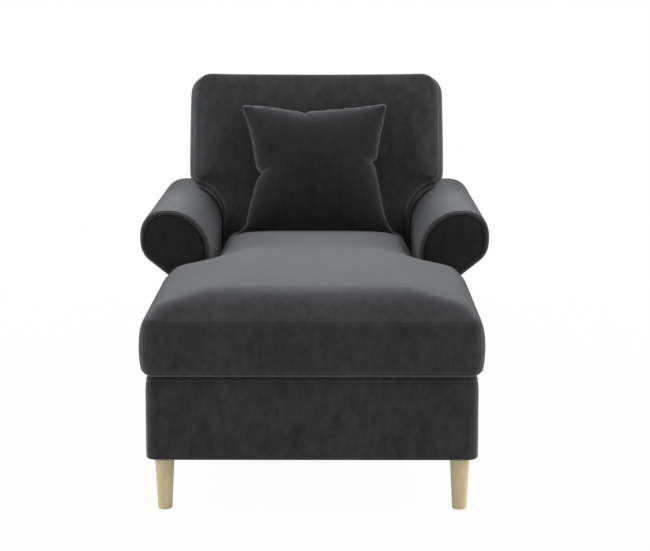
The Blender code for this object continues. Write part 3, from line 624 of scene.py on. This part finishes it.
# The lip that hangs over the base's edge: (height above the base, outset)
SEAT_LIP = ((-0.0002, -0.0160), (-0.0014, -0.0100), (-0.0008, -0.0050), (0.0014, -0.0005), (0.0046, 0.0036))
SEAT_LIP_SIDE_TUCK = 0.006
SEAT_LIP_SIDE_HEIGHT = 0.0125
SEAT_LIP_BACK = 0.014
SEAT_NECK_FILL = 0.008
SEAT_NECK_GAP = 0.001
SEAT_WING_CORNER = 0.028
SEAT_FOOT_OUTSET = 0.0060
SEAT_FOOT_REACH = 0.020
SEAT_STITCH_INSET = 0.0025
SEAT_SHARPNESS = 6
SEAT_NECK_START = 0.055
BORDER_FULLNESS = 0.6
STITCH_DEPTH = 0.0010
STITCH_LIFT = 0.0002

# How the seat's top rises from each edge: layers of (height, reach, power)
SEAT_FRONT_RISE = ((0.060, 0.100, 1.7), (0.014, 0.600, 2.2))
SEAT_SIDE_RISE = ((0.028, 0.033, 2.2), (0.046, 0.190, 1.1))
SEAT_NECK_RISE = ((0.050, 0.025, 2.2), (0.016, 0.080, 1.5), (0.008, 0.200, 2.2))
SEAT_HELD_RISE = ((SEAT_CROWN, 0.022, 2.2),)


def seat_corners():
    """Right-hand corners of the seat's outline: front, wing, where the wing meets the neck, and rear."""
    half, neck = SEAT[1][0] - BULGE, NECK_HALF + SEAT_NECK_FILL
    front, rear = SEAT[0][1] + BULGE, SEAT[1][1] - BULGE
    wing_rear = FACING[0][1] - SEAT_ARM_GAP - BULGE
    ahead, wing, inner, behind = SEAT_FRONT_CORNER, SEAT_WING_CORNER, SEAT_NECK_CORNER, SEAT_REAR_CORNER
    return (
        arc((half - ahead, front + ahead), ahead, -QUARTER, 0),
        arc((half - wing, wing_rear - wing), wing, 0, QUARTER),
        arc((neck + inner, wing_rear + inner), inner, -QUARTER, -2 * QUARTER),
        arc((neck - behind, rear - behind), behind, 0, QUARTER),
    )


def on_both_sides(path, rise):
    return [(path, rise), (flipped(path), rise)]


def seat_rise(places):
    """Crown of the seat's top: at each place, the edge that holds it down the most sets its height."""
    front_corner, wing_corner, inner_corner, rear_corner = seat_corners()
    neck_start = (inner_corner[-1][0], inner_corner[-1][1] + SEAT_NECK_START)
    edges = [(flipped(front_corner[:-1])[::-1] + front_corner[:-1], SEAT_FRONT_RISE)]
    edges += on_both_sides(front_corner[1:] + wing_corner[:-1], SEAT_SIDE_RISE)
    edges += on_both_sides(wing_corner[1:] + inner_corner, SEAT_HELD_RISE)
    edges += on_both_sides([neck_start] + rear_corner[:-1], SEAT_NECK_RISE)
    edges += [(rear_corner[1:] + flipped(rear_corner[1:])[::-1], SEAT_HELD_RISE)]
    short = np.zeros(len(places))
    for edge, layers in edges:
        away = path_distance(places, edge)
        lack = sum(height * (1 - np.minimum(away / reach, 1.0)) ** power for height, reach, power in layers)
        short += lack**SEAT_SHARPNESS
    share = 1 - np.minimum(short ** (1 / SEAT_SHARPNESS) / SEAT_CROWN, 1.0)
    return (SEAT_CROWN - SEAT_SWELL) * share


def seat_outset(share):
    """How far the border stands out at a share of its height; its foot is fuller than its top."""
    foot = SEAT_FOOT_OUTSET if share < 0.5 else 0.0
    return foot + (BULGE - foot) * math.sin(math.pi * share) ** BORDER_FULLNESS


def seat_rows(loop):
    """Rows of the lip, which is drawn in at the sides, and of the border above it."""
    low, high = SEAT_LEVEL + SEAT_SEAM_LOW, SEAT[1][2] - SEAT_CROWN
    rows = [(SEAT_LEVEL + height, outset) for height, outset in SEAT_LIP]
    rows += [(low + (high - low) * share, seat_outset(share)) for share in (0.0, *SEAT_ROWS, 1.0)]
    tuck = SEAT_LIP_SIDE_TUCK * loop_normals(loop)[:, 0] ** 2
    shares = [max(0.0, 1 - (z - SEAT_LEVEL) / SEAT_LIP_SIDE_HEIGHT) for z, _ in rows]
    return [(z, outset - tuck * share) for (z, outset), share in zip(rows, shares)]


def seat_fitted(places):
    """Keeps the cover off the base, the zip and the arms."""
    behind = places[:, 1] > BASE_FRONT[0][1] + SEAT_LIP_BACK
    over_base = behind & (np.abs(places[:, 0]) < BASE_HALF - SEAT_LIP_BACK)
    places[over_base, 2] = np.maximum(places[over_base, 2], SEAT_LEVEL)
    places[:, 1] = np.minimum(places[:, 1], ZIP[0][1] - FIT)
    between = places[:, 1] > FACING[0][1] - SEAT_ARM_GAP
    reach = ARM_INNER - SEAT_NECK_GAP
    places[between, 0] = np.clip(places[between, 0], -reach, reach)
    return places


def make_seat():
    corners = seat_corners()
    loop = evened(mirrored([point for corner in corners for point in corner]), SEAT_SPACING)
    rises = (rising(loop, SEAT_LIP[0][0], SEAT_FOOT_REACH), seat_rise)
    points, faces, rings = stuffed(loop, SEAT_SPACING, seat_rows(loop), rises, rounds=4)
    piece = add_piece("seat_cover", points, faces, "seat_cushion", "velvet", ("seat_cushion",))
    seam = len(SEAT_LIP)
    stitched = (rings[seam + 1], rings[-2])
    held = np.concatenate([*rings[: seam + 2], *rings[-2:]])
    inflate(piece, held, SEAT_PRESSURE, SEAT_SWELL, evening=12)
    places = seat_fitted(coordinates(piece.data))
    normals = np.column_stack([loop_normals(loop), np.zeros(len(loop))])
    for ring in (rings[seam], *stitched):
        places[ring] -= normals * STITCH_DEPTH
    set_coordinates(piece.data, places)
    for name, ring in zip(("low", "high"), stitched):
        add_stitches(f"seat_stitching_{name}", lifted(piece.data, ring, STITCH_LIFT), "seat_cushion")
    cover = bvhtree.BVHTree.FromPolygons([Vector(p) for p in places], [tuple(map(int, f)) for f in faces])
    beside = places[rings[-1]] + SEAT_STITCH_INSET * (np.array((0.0, 0.0, 1.0)) - normals)
    row = np.array([cover.find_nearest(Vector(place))[0] for place in beside])
    add_stitches("seat_stitching_top", row, "seat_cushion")
    subdivide(piece)


# Back cushion

BACK_SPACING = 0.012
BACK_ROWS = (0.04, 0.12, 0.24, 0.38, 0.52, 0.66, 0.78, 0.88, 0.955)
BACK_PRESSURE = 1.5
BACK_SWELL = 0.003
BACK_TOP_SAG = 0.0025
BACK_WING_CLEARANCE = 0.0145
BACK_WING_SEAM_INSET = 0.012
BACK_SEAM_DEPTH = 0.0035
BACK_WING_CORNER = 0.032
BACK_EDGE_INSETS = (0.001, 0.003, 0.007, 0.012)
BACK_TOP_RAISE = 0.002
BACK_TOP_CORNER = 0.050
BACK_TOP_ROLL = (0.0040, 0.0075, 0.0095, 0.0085)
BACK_NECK_FILL = 0.010
BACK_NECK_FADE = 0.06
BACK_TAPER = 0.003
BACK_BULGE_PLACE = 1.6
BACK_DRAW_POWER = 8


def raked(depth, z):
    """Distance along Y of a place on the raked back, given behind the back cushion's front."""
    return BACK_FRONT + depth + (z - BASE_TOP) * RAKE


def back_outline():
    foot = SEAT_LEVEL + BULGE
    neck, wing, top_z = NECK_HALF, BACK[1][0] - BULGE, BACK[1][2] + BACK_TOP_RAISE
    radius, corner, top = BACK_FOOT_CORNER, BACK_WING_CORNER, BACK_TOP_CORNER
    side = arc((neck - radius, foot + radius), radius, -QUARTER, 0)
    radii = (SCROLL_CENTRE_X - neck, SCROLL_TOP_Z - SCROLL_SHOULDER_Z + BACK_WING_CLEARANCE)
    corner_x = wing - corner
    turn = math.acos((SCROLL_CENTRE_X - corner_x) / radii[0])
    notch = arc((SCROLL_CENTRE_X, SCROLL_SHOULDER_Z), radii, math.pi, math.pi - turn, 20)
    side += notch
    side += arc((corner_x, notch[-1][1] + corner), corner, -turn, 0)
    flat_end = wing - BACK_TAPER - top
    side += arc((flat_end, top_z - top), top, 0, QUARTER)
    side += [(flat_end * k, top_z - BACK_TOP_SAG * (1 - k * k)) for k in (0.8, 0.6, 0.4, 0.2)]
    return mirrored(side)


def back_crown(away):
    """Rise of the front panel at a distance from its seam: steep at first, like a well filled cushion."""
    return BACK_CROWN * (1 - (1 - np.minimum(away / BACK_CROWN_REACH, 1.0)) ** CROWN_POWER) ** 0.5


def back_rows(loop):
    """Rows of the border, from the rear seam to the front one, and of the roll that starts the front panel.

    The border stands out at the sides and over the arms, where the front panel is cut smaller. It is plain
    along the top, where the front panel rolls over the seam, and between the arms it fills the gap.
    """
    normals = loop_normals(loop)
    upper = np.maximum(normals[:, 1], 0.0) ** 2
    side = 1 - upper
    below = 1 - (1 - np.maximum(-normals[:, 1], 0.0)) ** 2
    between = np.clip((SCROLL_SHOULDER_Z + BACK_NECK_FADE - loop[:, 1]) / BACK_NECK_FADE, 0.0, 1.0)
    fill = BACK_NECK_FILL * between * np.abs(normals[:, 0])
    seam = fill - BACK_WING_SEAM_INSET * below
    rows = []
    for share in (0.0, *BACK_ROWS):
        full = BULGE * math.sin(math.pi * share**BACK_BULGE_PLACE) ** BORDER_FULLNESS
        drawn = np.minimum(seam, 0.0) * share**BACK_DRAW_POWER
        rows.append((BACK_THICKNESS * share, np.maximum(side * full, fill * share) + drawn))
    rows.append((BACK_THICKNESS, seam - BACK_SEAM_DEPTH))
    for inset, roll in zip(BACK_EDGE_INSETS, BACK_TOP_ROLL):
        rows.append((BACK_THICKNESS + back_crown(inset), seam - inset + roll * upper))
    return rows


def make_back():
    loop = evened(back_outline(), BACK_SPACING)

    def front_rise(places):
        away = path_distance(places, closed_path(loop))
        away += BACK_EDGE_INSETS[-1] * np.exp(-((away / DRAW_FADE) ** 2))
        return back_crown(away) - back_crown(BACK_EDGE_INSETS[-1])

    rises = (rising(loop, BACK_REAR_CROWN, BACK_CROWN_REACH), front_rise)
    points, faces, rings = stuffed(loop, BACK_SPACING, back_rows(loop), rises, rounds=3)
    # Its top is square to the rake and falls towards the rear, less and less down to the wings' lower edge.
    depth = BACK_THICKNESS - points[:, 2]
    above = np.maximum(0.0, (points[:, 1] - STILE[0][2]) / (BACK[1][2] - STILE[0][2]))
    z = points[:, 1] - above * np.maximum(depth, 0.0) * RAKE
    placed = np.column_stack([points[:, 0], raked(depth, z), z])
    piece = add_piece("back_cover", placed, faces, "back_cushion", "velvet", ("back_cushion",))
    seam = rings[1 + len(BACK_ROWS)]
    inflate(piece, np.concatenate([rings[0], seam]), BACK_PRESSURE, BACK_SWELL, evening=6)
    places = coordinates(piece.data)
    places[:, 1] = np.minimum(places[:, 1], raked(BACK_REACH, places[:, 2]))
    places[:, 2] = np.maximum(places[:, 2], SEAT_LEVEL)
    set_coordinates(piece.data, places)
    subdivide(piece)


# Scatter cushion

SCATTER_SPACING = 0.006
SCATTER_HALF_THICKNESS = 0.074
SCATTER_PRESSURE = 2.0
SCATTER_SWELL = 0.003
SCATTER_SEAM_RADIUS = 0.0007
SCATTER_CREASE = 0.010
SCATTER_CREASE_LENGTH = 0.030
SCATTER_CREASE_WIDTH = 0.0045
SCATTER_DROP = 0.0045
SCATTER_FORWARD = 0.010

# Its outline as it lies, across and up from its middle: runs between corners and tips of pinched notches
SCATTER_NOTCHES = ((0.1614, 0.0277), (-0.0352, 0.1775), (-0.1549, -0.0107))
SCATTER_RUNS = (
    ((-0.2270, -0.2005), (-0.120, -0.187), (0.003, -0.184), (0.120, -0.187), (0.2280, -0.2005)),
    ((0.2186, -0.1875), (0.1978, -0.1422), (0.1773, -0.0294), (0.1696, 0.0134)),
    (SCATTER_NOTCHES[0], (0.1747, 0.0401), (0.1870, 0.1120), (0.2052, 0.2055)),
    ((0.1940, 0.2090), (0.0826, 0.1930), (-0.0201, 0.1848)),
    (SCATTER_NOTCHES[1], (-0.0569, 0.1840), (-0.1350, 0.1990), (-0.2083, 0.2064)),
    ((-0.2158, 0.1991), (-0.1900, 0.1150), (-0.1706, 0.0061)),
    (SCATTER_NOTCHES[2], (-0.1687, -0.0296), (-0.1850, -0.0950), (-0.1955, -0.1500)),
    ((-0.1955, -0.1640), (-0.2090, -0.1807), (-0.2270, -0.2005)),
)


def make_scatter():
    runs = [evened(smooth_run(run), SCATTER_SPACING, closed=False) for run in SCATTER_RUNS]
    runs[-1] = runs[-1][:-1]
    loop = evened(np.vstack(runs), SCATTER_SPACING)
    puff = puffed(loop, SCATTER_SPACING)

    def rise(places):
        height = puff * SCATTER_HALF_THICKNESS
        for tip in np.array(SCATTER_NOTCHES):
            inward = -tip / np.linalg.norm(tip)
            offset = places - tip
            along = offset @ inward / SCATTER_CREASE_LENGTH
            across = (offset @ (-inward[1], inward[0])) / SCATTER_CREASE_WIDTH
            share = np.where((along > 0) & (along < 1), 1 - along, 0.0)
            height -= SCATTER_CREASE * share * np.exp(-(across**2))
        return np.maximum(height, 0.0)

    points, faces, rings = stuffed(loop, SCATTER_SPACING, [(0.0, 0.0)], (rise, rise))
    body, nodes = "scatter_cushion", ("scatter_cushion",)
    # The scatter's cover takes the darkest velvet copy, with painted deep shade
    piece = add_piece("scatter_cover", points, faces, body, "velvet", nodes, VELVET_PAINTED_DEEP_SHADE)
    inflate(piece, rings[0], SCATTER_PRESSURE, SCATTER_SWELL)
    places = coordinates(piece.data)
    # Stand it up, lean it back and set it in the CAD cushion's place.
    turn = QUARTER - SCATTER_LEAN
    y = places[:, 1] * math.cos(turn) - places[:, 2] * math.sin(turn)
    z = places[:, 1] * math.sin(turn) + places[:, 2] * math.cos(turn)
    middle = [(low + high) / 2 for low, high in zip(*SCATTER)]
    placed = np.column_stack([places[:, 0], y + middle[1] - SCATTER_FORWARD, z + middle[2] - SCATTER_DROP])
    set_coordinates(piece.data, placed)
    add_tube("scatter_seam", placed[rings[0]], SCATTER_SEAM_RADIUS, True, body)


# Arms

ROLL_SETBACK = 0.005
ROLL_EASE = 0.006
ARM_BEAD_RADIUS = 0.0038
ARM_BEAD_INSET = 0.0070
ARM_BEAD_FORWARD = 0.001
PANEL_CORNER = 0.004
# Padding of the arm's boards: (spacing of the net, crown, reach of the crown)
FACING_PADDING = (0.007, 0.005, 0.022)
REAR_PADDING = (0.008, 0.003, 0.02)
SIDE_PADDING = (0.012, 0.003, 0.03)


def scroll_path(inset, outer_x, steps=26):
    """Arm section from the foot of its inner face, over the scroll and under it, to the plane at outer_x."""
    inner = (SCROLL_CENTRE_X - ARM_INNER - inset, SCROLL_TOP_Z - SCROLL_SHOULDER_Z - inset)
    path = [(ARM_INNER + inset, z) for z in np.linspace(SEAT_LEVEL, SCROLL_SHOULDER_Z, 13)[:-1]]
    path += arc((SCROLL_CENTRE_X, SCROLL_SHOULDER_Z), inner, math.pi, QUARTER, steps)
    centre = (SCROLL_CENTRE_X, SCROLL_CENTRE_Z)
    path += full_arc(centre, SCROLL_RADIUS - inset, QUARTER, -SCROLL_TUCK, steps)[1:]
    tuck_x, tuck_z = path[-1]
    slope = math.tan(SCROLL_TUCK) ** (2 / SCROLL_FULLNESS - 2)
    path.append((outer_x, tuck_z - (tuck_x - outer_x) * slope))
    return path


def make_arm_roll(side, sign):
    """The padded roll: a shell that follows the scroll, laps round the facing and is eased at its ends."""
    front, rear = FACING[0][1] + ROLL_SETBACK, PAD[1][1]
    ease = ROLL_EASE
    stations = [front + ease * (1 - math.cos(a)) for a in np.linspace(0, QUARTER, 6)]
    stations += [PAD[0][1] - FIT, PAD[0][1] + FIT]
    stations += list(np.linspace(PAD[0][1], rear - ease, 44))[1:]
    stations += [rear - ease * (1 - math.sin(a)) for a in np.linspace(0, QUARTER, 6)[1:]]
    rings = []
    for y in stations:
        near = min(y - front, rear - y, ease)
        inset = ease - math.sqrt(max(0.0, ease**2 - (ease - near) ** 2))
        lining = FACING_INSET - FIT if y < PAD[0][1] else ARM_PAD_THICKNESS
        section = scroll_path(inset, PANEL[0][0]) + scroll_path(lining, PANEL[0][0])[::-1]
        rings.append([(sign * x, y, z) for x, z in section])
    points, faces = skin(rings, closed=False)
    count = len(rings[0])
    for first in (0, (len(rings) - 1) * count):
        for k in range(count // 2 - 1):
            faces.append((first + k, first + k + 1, first + count - 2 - k, first + count - 1 - k))
    add_piece(f"arm_roll_{side}", points, faces, "frame", "velvet", (f"arm_pad_{side}",))


def add_panel(name, outline, padding, thickness, place, replaces, finish=None):
    """A padded panel: a flat back and a crowned face over an outline, put in its place by a function."""
    spacing, crown, reach = padding
    loop = evened(outline, spacing)
    rows = [((thickness - crown) * share, 0.0) for share in (0.0, 0.25, 0.5, 0.75, 1.0)]
    points, faces, _ = stuffed(loop, spacing, rows, (no_rise, rising(loop, crown, reach)), rounds=2)
    add_piece(name, place(*points.T), faces, "frame", "velvet", replaces, finish)


def scroll_outline(inset, outer_x):
    """A board's outline that follows the scroll, anticlockwise, with its foot on the base."""
    return (scroll_path(inset, outer_x) + [(outer_x, SEAT_LEVEL)])[::-1]


def make_arm_front(side, sign):
    def place(u, v, height):
        return np.column_stack([sign * u, FACING[1][1] - height, v])

    outline = scroll_outline(FACING_INSET, BASE_HALF - FACING_INSET)
    depth = FACING[1][1] - FACING[0][1]
    nodes = (f"arm_facing_{side}",)
    # The facing takes the velvet copy with painted shade
    add_panel(f"arm_front_{side}", outline, FACING_PADDING, depth, place, nodes, VELVET_PAINTED_SHADE)


def make_arm_back(side, sign):
    def place(u, v, height):
        return np.column_stack([sign * u, REAR_BOARD[0][1] + height, v])

    outline = scroll_outline(ARM_PAD_THICKNESS + FIT, PANEL[0][0] - FIT)
    depth = REAR_BOARD[1][1] - REAR_BOARD[0][1]
    add_panel(f"arm_back_{side}", outline, REAR_PADDING, depth, place, (f"arm_rear_board_{side}",))


def make_arm_side(side, sign):
    """The outside panel below the scroll, with eased corners."""
    low, high = PANEL

    def place(u, v, height):
        return np.column_stack([sign * (low[0] + height), u, v])

    outline = rounded(low[1:], high[1:], PANEL_CORNER, 3)
    nodes = (f"arm_outside_panel_{side}",)
    add_panel(f"arm_side_{side}", outline, SIDE_PADDING, high[0] - low[0], place, nodes)


def make_arm_piping(side, sign):
    outer = BASE_HALF - ARM_BEAD_INSET
    route = scroll_path(ARM_BEAD_INSET, outer) + [(outer, SEAT_LEVEL)]
    y = FACING[0][1] + ROLL_SETBACK - ARM_BEAD_FORWARD
    bead = [(sign * x, y, z) for x, z in route]
    nodes = (f"arm_piping_{side}",)
    add_tube(f"arm_piping_cover_{side}", bead, ARM_BEAD_RADIUS, False, "frame", nodes, 4)


# Base cover

BASE_CORNER = 0.026
BASE_FULLNESS = 0.0022
BASE_TOP_DROP = 0.002
BASE_ROLL = 0.007
BASE_ROLL_HEIGHT = 0.0090
BASE_FOOT_ROLL = 0.006
BASE_DROP = 0.0027
BASE_SEAM_INSET = 0.008
BASE_HEM = 0.0140
BASE_GROOVE = 0.0018
BASE_RIDGE = 0.0010
BASE_RIDGE_WIDTH = 0.0022
BASE_GROOVE_HALF = 0.0015
BASE_GROOVE_SHOULDER = 0.3
BASE_HEM_GAP = 0.004
BASE_FULLNESS_RAMP = 0.02
BASE_STEP = 0.02
BASE_CLOSE_STEP = 0.001
BASE_CLOSE_REACH = 0.012
DECK_SINK = 0.003
DECK_SINK_REACH = 0.2


def base_loop():
    """The base's outline with close points at its corners, where it is sewn."""
    path = rounded((-BASE_HALF, BASE_FRONT[0][1]), (BASE_HALF, BASE_REAR[1][1]), BASE_CORNER, 10)
    loop = []
    for a, b in zip(path, path[1:] + path[:1]):
        span = math.dist(a, b)
        near = BASE_CLOSE_REACH
        marks = [0.0]
        if span > 3 * near:
            close = np.arange(BASE_CLOSE_STEP, near, BASE_CLOSE_STEP) / span
            marks += list(close)
            marks += list(np.linspace(near / span, 1 - near / span, round(span / BASE_STEP)))
            marks += list(1 - close[::-1])
        loop += [tuple(np.array(a) + (np.array(b) - np.array(a)) * m) for m in marks]
    return np.array(loop)


def base_profile(thickness, hem):
    """Section of the cover, as (outset, height): from its lower edge, up the outside, to its upper edge."""
    bottom, roll = BASE_BOTTOM - BASE_DROP, BASE_FOOT_ROLL
    profile = [(-thickness, bottom)]
    profile += arc((-roll, bottom + roll), roll, -QUARTER, 0, 5)
    profile += [(0.0, z) for z in np.linspace(bottom + roll, hem - BASE_HEM_GAP, 10)[1:]]
    shoulder = -BASE_GROOVE_SHOULDER * BASE_GROOVE
    profile += [(shoulder, hem - BASE_GROOVE_HALF), (-BASE_GROOVE, hem), (shoulder, hem + BASE_GROOVE_HALF)]
    roll, tall = BASE_ROLL, BASE_ROLL_HEIGHT
    profile += arc((-roll, BASE_TOP - BASE_TOP_DROP - tall), (roll, tall), 0, QUARTER, 5)
    return profile + [(-thickness, BASE_TOP)]


def make_base():
    """One cover round the base: rolled edges, a sewn hem near its top and a seam beside each corner."""
    loop = base_loop()
    normals = loop_normals(loop)
    seam_x = BASE_HALF - BASE_SEAM_INSET
    on_ends = np.abs(normals[:, 1]) > 0.5
    ridge = BASE_RIDGE * np.exp(-(((np.abs(loop[:, 0]) - seam_x) / BASE_RIDGE_WIDTH) ** 2)) * on_ends
    hem = BASE_TOP - BASE_HEM
    rings = []
    for offset, z in base_profile(BASE_FRONT[1][1] - BASE_FRONT[0][1], hem):
        outset = np.full(len(loop), offset)
        if offset >= -BASE_ROLL:
            below_hem = (hem + BASE_HEM_GAP - z) / BASE_FULLNESS_RAMP
            outset += ridge + BASE_FULLNESS * min(1.0, max(0.0, below_hem))
        rings.append([(x, y, z) for x, y in loop + normals * outset[:, None]])
    points, faces = skin(rings)
    nodes = [f"base_border_{name}" for name in ("front", "rear", "left", "right")]
    add_piece("base_cover", points, faces, "frame", "velvet", nodes)


def rectangle(low, high):
    return evened([(low[0], low[1]), (high[0], low[1]), (high[0], high[1]), (low[0], high[1])], BASE_STEP)


def make_turn_in():
    """The base cover's turn-in over the rear rail, behind the seat deck."""
    low, high = REAR_RAIL
    loop = rectangle((-high[0], low[1]), (high[0], BASE_REAR[0][1]))
    rows = [(high[2] + FIT, 0.0), (BASE_TOP - FIT, 0.0)]
    points, faces, _ = stuffed(loop, BASE_STEP, rows, (no_rise, no_rise))
    add_piece("base_turn_in", points, faces, "frame", "velvet", ())


def make_deck():
    """The sprung platform under the seat cushion: a cloth pad that sinks a little along its middle."""
    low, high = DECK
    loop = rectangle(low, high)
    rows = [(low[2], 0.0), ((low[2] + high[2]) / 2, 0.0), (high[2], 0.0)]
    rises = (no_rise, rising(loop, -DECK_SINK, DECK_SINK_REACH))
    points, faces, _ = stuffed(loop, BASE_STEP, rows, rises)
    add_piece("deck_cover", points, faces, "frame", "platform_cloth", ("seat_deck",))


# Legs

LEG_FOOT_RADIUS = 0.0170
LEG_EASE = 0.0022
LEG_RECESS_RADIUS = 0.0125
LEG_FLOOR_GAP = 0.0012
LEG_STEPS = 48


def leg_profile(top, low, high):
    """Section of a turned leg, as (radius, height): from its glide's recess round its foot to its top."""
    foot, ease, bottom = LEG_FOOT_RADIUS, LEG_EASE, LEG_FLOOR_GAP
    tall = high - bottom - 2 * ease
    profile = [(LEG_RECESS_RADIUS, low), (LEG_RECESS_RADIUS, bottom)]
    profile += arc((foot - ease, bottom + ease), ease, -QUARTER, 0, 4)
    shares = np.linspace(0, 1, 12)[1:-1]
    profile += [(foot + (top - foot) * t, bottom + ease + tall * t) for t in shares]
    return profile + arc((top - ease, high - ease), ease, 0, QUARTER, 4)


def make_leg(end, side):
    low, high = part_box(f"leg_{end}_{side}")
    x, y = (low[0] + high[0]) / 2, (low[1] + high[1]) / 2
    angles = math.tau * np.arange(LEG_STEPS) / LEG_STEPS
    rings = []
    for radius, z in leg_profile((high[0] - low[0]) / 2, low[2], high[2]):
        rings.append([(x + radius * math.cos(a), y + radius * math.sin(a), z) for a in angles])
    points, faces = skin(rings, closed=False)
    last = (len(rings) - 1) * LEG_STEPS
    faces += [tuple(range(LEG_STEPS)), tuple(range(last, last + LEG_STEPS))]
    add_piece(f"turned_leg_{end}_{side}", points, faces, "frame", "leg_oak", (f"leg_{end}_{side}",))


# Back frame cover

BACK_FRAME_SPACING = 0.016
BACK_FRAME_CORNER = 0.022
BACK_FRAME_WING_CORNER = 0.012
BACK_FRAME_EASE = 0.004
BACK_FRAME_EASE_REACH = 0.03
BACK_FRAME_WELT = 0.0025


def make_back_frame():
    """The frame behind the back cushion: one cover over its pad, top rail, stiles and outside back."""
    neck, half = ARM_INNER - BACK_FRAME_CLEARANCE, BACK_PAD[1][0]
    top, wing_bottom = BACK_PAD[1][2], STILE[0][2]
    corner, small = BACK_FRAME_CORNER, BACK_FRAME_WING_CORNER
    side = [(neck, SEAT_LEVEL), (neck, wing_bottom)]
    side += arc((half - small, wing_bottom + small), small, -QUARTER, 0, 6)
    side += arc((half - corner, top - corner), corner, 0, QUARTER, 8)
    front = BACK_REACH + FIT
    depth = OUTSIDE_BACK[1][1] - (OUTSIDE_BACK[1][2] - BASE_TOP) * RAKE - BACK_FRONT - front
    ease, spacing = BACK_FRAME_EASE, BACK_FRAME_SPACING
    loop = evened(mirrored(side), spacing)
    rise = rising(loop, ease, BACK_FRAME_EASE_REACH)
    rows = [(ease + (depth - 2 * ease) * share, 0.0) for share in np.linspace(0, 1, 6)]
    points, faces, rings = stuffed(loop, spacing, rows, (rise, rise))
    x, z, height = points.T
    placed = np.column_stack([x, raked(front + depth - height, z), z])
    nodes = ("back_pad", "outside_back", "back_top_rail", "back_stile_left", "back_stile_right")
    add_piece("back_frame_cover", placed, faces, "frame", "velvet", nodes)
    add_tube("back_frame_welt", placed[rings[0]], BACK_FRAME_WELT, True)


# Stage

SKY_STRENGTH = 0.50
FLOOR_COLOUR = (0.92, 0.92, 0.92, 1.0)
FLOOR_REACH = 30.0
# The floor's share of plain white, which grows from the chair outwards
FLOOR_WHITE = {"From_Min": 0.8, "From_Max": 2.6, "To_Min": 0.96}
LAMP_PLACE = (3.2, -0.1, 2.2)
LAMP_TARGET = (0.0, -0.1, 0.5)
LAMP_SIZE = 3.4
LAMP_POWER = 88.0
CAMERA_LENS = 108.9
CAMERA_AHEAD = 4.5
CAMERA_X = 0.0498
CAMERA_HEIGHT = 1.288
CAMERA_PITCH = 9.09
CAMERA_TURN = 0.243


def seen_rays(tree):
    """1 for rays from the camera and for those that gloss or glass sends on, else 0."""
    path = add_node(tree, "ShaderNodeLightPath")
    total = path.outputs["Is Camera Ray"]
    for name in ("Is Glossy Ray", "Is Transmission Ray"):
        both = add_node(tree, "ShaderNodeMath", {"operation": "MAXIMUM"})
        tree.links.new(total, both.inputs[0])
        tree.links.new(path.outputs[name], both.inputs[1])
        total = both.outputs["Value"]
    return total


def mix_shaders(tree, share, first, second, output):
    both = add_node(tree, "ShaderNodeMixShader", Fac=share)
    tree.links.new(first.outputs[0], both.inputs[1])
    tree.links.new(second.outputs[0], both.inputs[2])
    tree.links.new(both.outputs[0], tree.nodes[output].inputs["Surface"])


def make_world(scene):
    world = bpy.data.worlds.new("studio")
    scene.world = world
    world.use_nodes = True
    tree = world.node_tree
    sky = add_node(tree, "ShaderNodeBackground", Color=(1.0, 1.0, 1.0, 1.0), Strength=SKY_STRENGTH)
    white = add_node(tree, "ShaderNodeBackground", Color=(1.0, 1.0, 1.0, 1.0), Strength=1.0)
    mix_shaders(tree, seen_rays(tree), sky, white, "World Output")


def make_floor(scene):
    """A pale floor that keeps a soft shadow near the chair and is plain white further out."""
    made, tree, shader = new_material("pale_floor")
    feed(tree, shader, Base_Color=FLOOR_COLOUR, Roughness=0.9)
    glow = add_node(tree, "ShaderNodeEmission", Strength=1.0)
    place = add_node(tree, "ShaderNodeTexCoord").outputs["Object"]
    far = add_node(tree, "ShaderNodeVectorMath", {"operation": "LENGTH"})
    tree.links.new(place, far.inputs[0])
    white = add_node(tree, "ShaderNodeMapRange", Value=far.outputs["Value"], **FLOOR_WHITE)
    share = add_node(tree, "ShaderNodeMath", {"operation": "MULTIPLY"})
    tree.links.new(seen_rays(tree), share.inputs[0])
    tree.links.new(white.outputs["Result"], share.inputs[1])
    mix_shaders(tree, share.outputs["Value"], shader, glow, "Material Output")
    mesh = bpy.data.meshes.new("floor")
    reach = FLOOR_REACH
    corners = [(-reach, -reach, 0), (reach, -reach, 0), (reach, reach, 0), (-reach, reach, 0)]
    mesh.from_pydata(corners, [], [(0, 1, 2, 3)])
    mesh.materials.append(made)
    floor = bpy.data.objects.new("floor", mesh)
    scene.collection.objects.link(floor)


def make_stage():
    scene = bpy.context.scene
    scene.view_settings.view_transform = "Standard"
    make_world(scene)
    make_floor(scene)
    for name, sign in SIDES:
        data = bpy.data.lights.new(name, "AREA")
        data.shape = "DISK"
        data.size = LAMP_SIZE
        data.energy = LAMP_POWER
        lamp = bpy.data.objects.new(name, data)
        lamp.location = (sign * LAMP_PLACE[0], *LAMP_PLACE[1:])
        lamp.rotation_euler = (Vector(LAMP_TARGET) - lamp.location).to_track_quat("-Z", "Y").to_euler()
        scene.collection.objects.link(lamp)
    data = bpy.data.cameras.new("camera")
    data.lens = CAMERA_LENS
    data.sensor_width = 36.0
    camera = bpy.data.objects.new("camera", data)
    camera.location = (CAMERA_X, BASE_FRONT[0][1] - CAMERA_AHEAD, CAMERA_HEIGHT)
    camera.rotation_euler = (math.radians(90 - CAMERA_PITCH), 0.0, math.radians(CAMERA_TURN))
    scene.collection.objects.link(camera)
    scene.camera = camera


def main():
    # The CAD nodes that still show take their slots' finishes.
    for entry in frame["record"]["subparts"]:
        for place in frame["nodes"][entry["node"]].material_slots:
            place.material = FINISHES[entry["material_slot"]]
    make_stage()
    for end in ("front", "rear"):
        for side, _ in SIDES:
            make_leg(end, side)
    make_base()
    make_turn_in()
    make_deck()
    for side, sign in SIDES:
        make_arm_roll(side, sign)
        make_arm_front(side, sign)
        make_arm_back(side, sign)
        make_arm_side(side, sign)
        make_arm_piping(side, sign)
    make_back_frame()
    make_back()
    make_seat()
    make_scatter()


main()
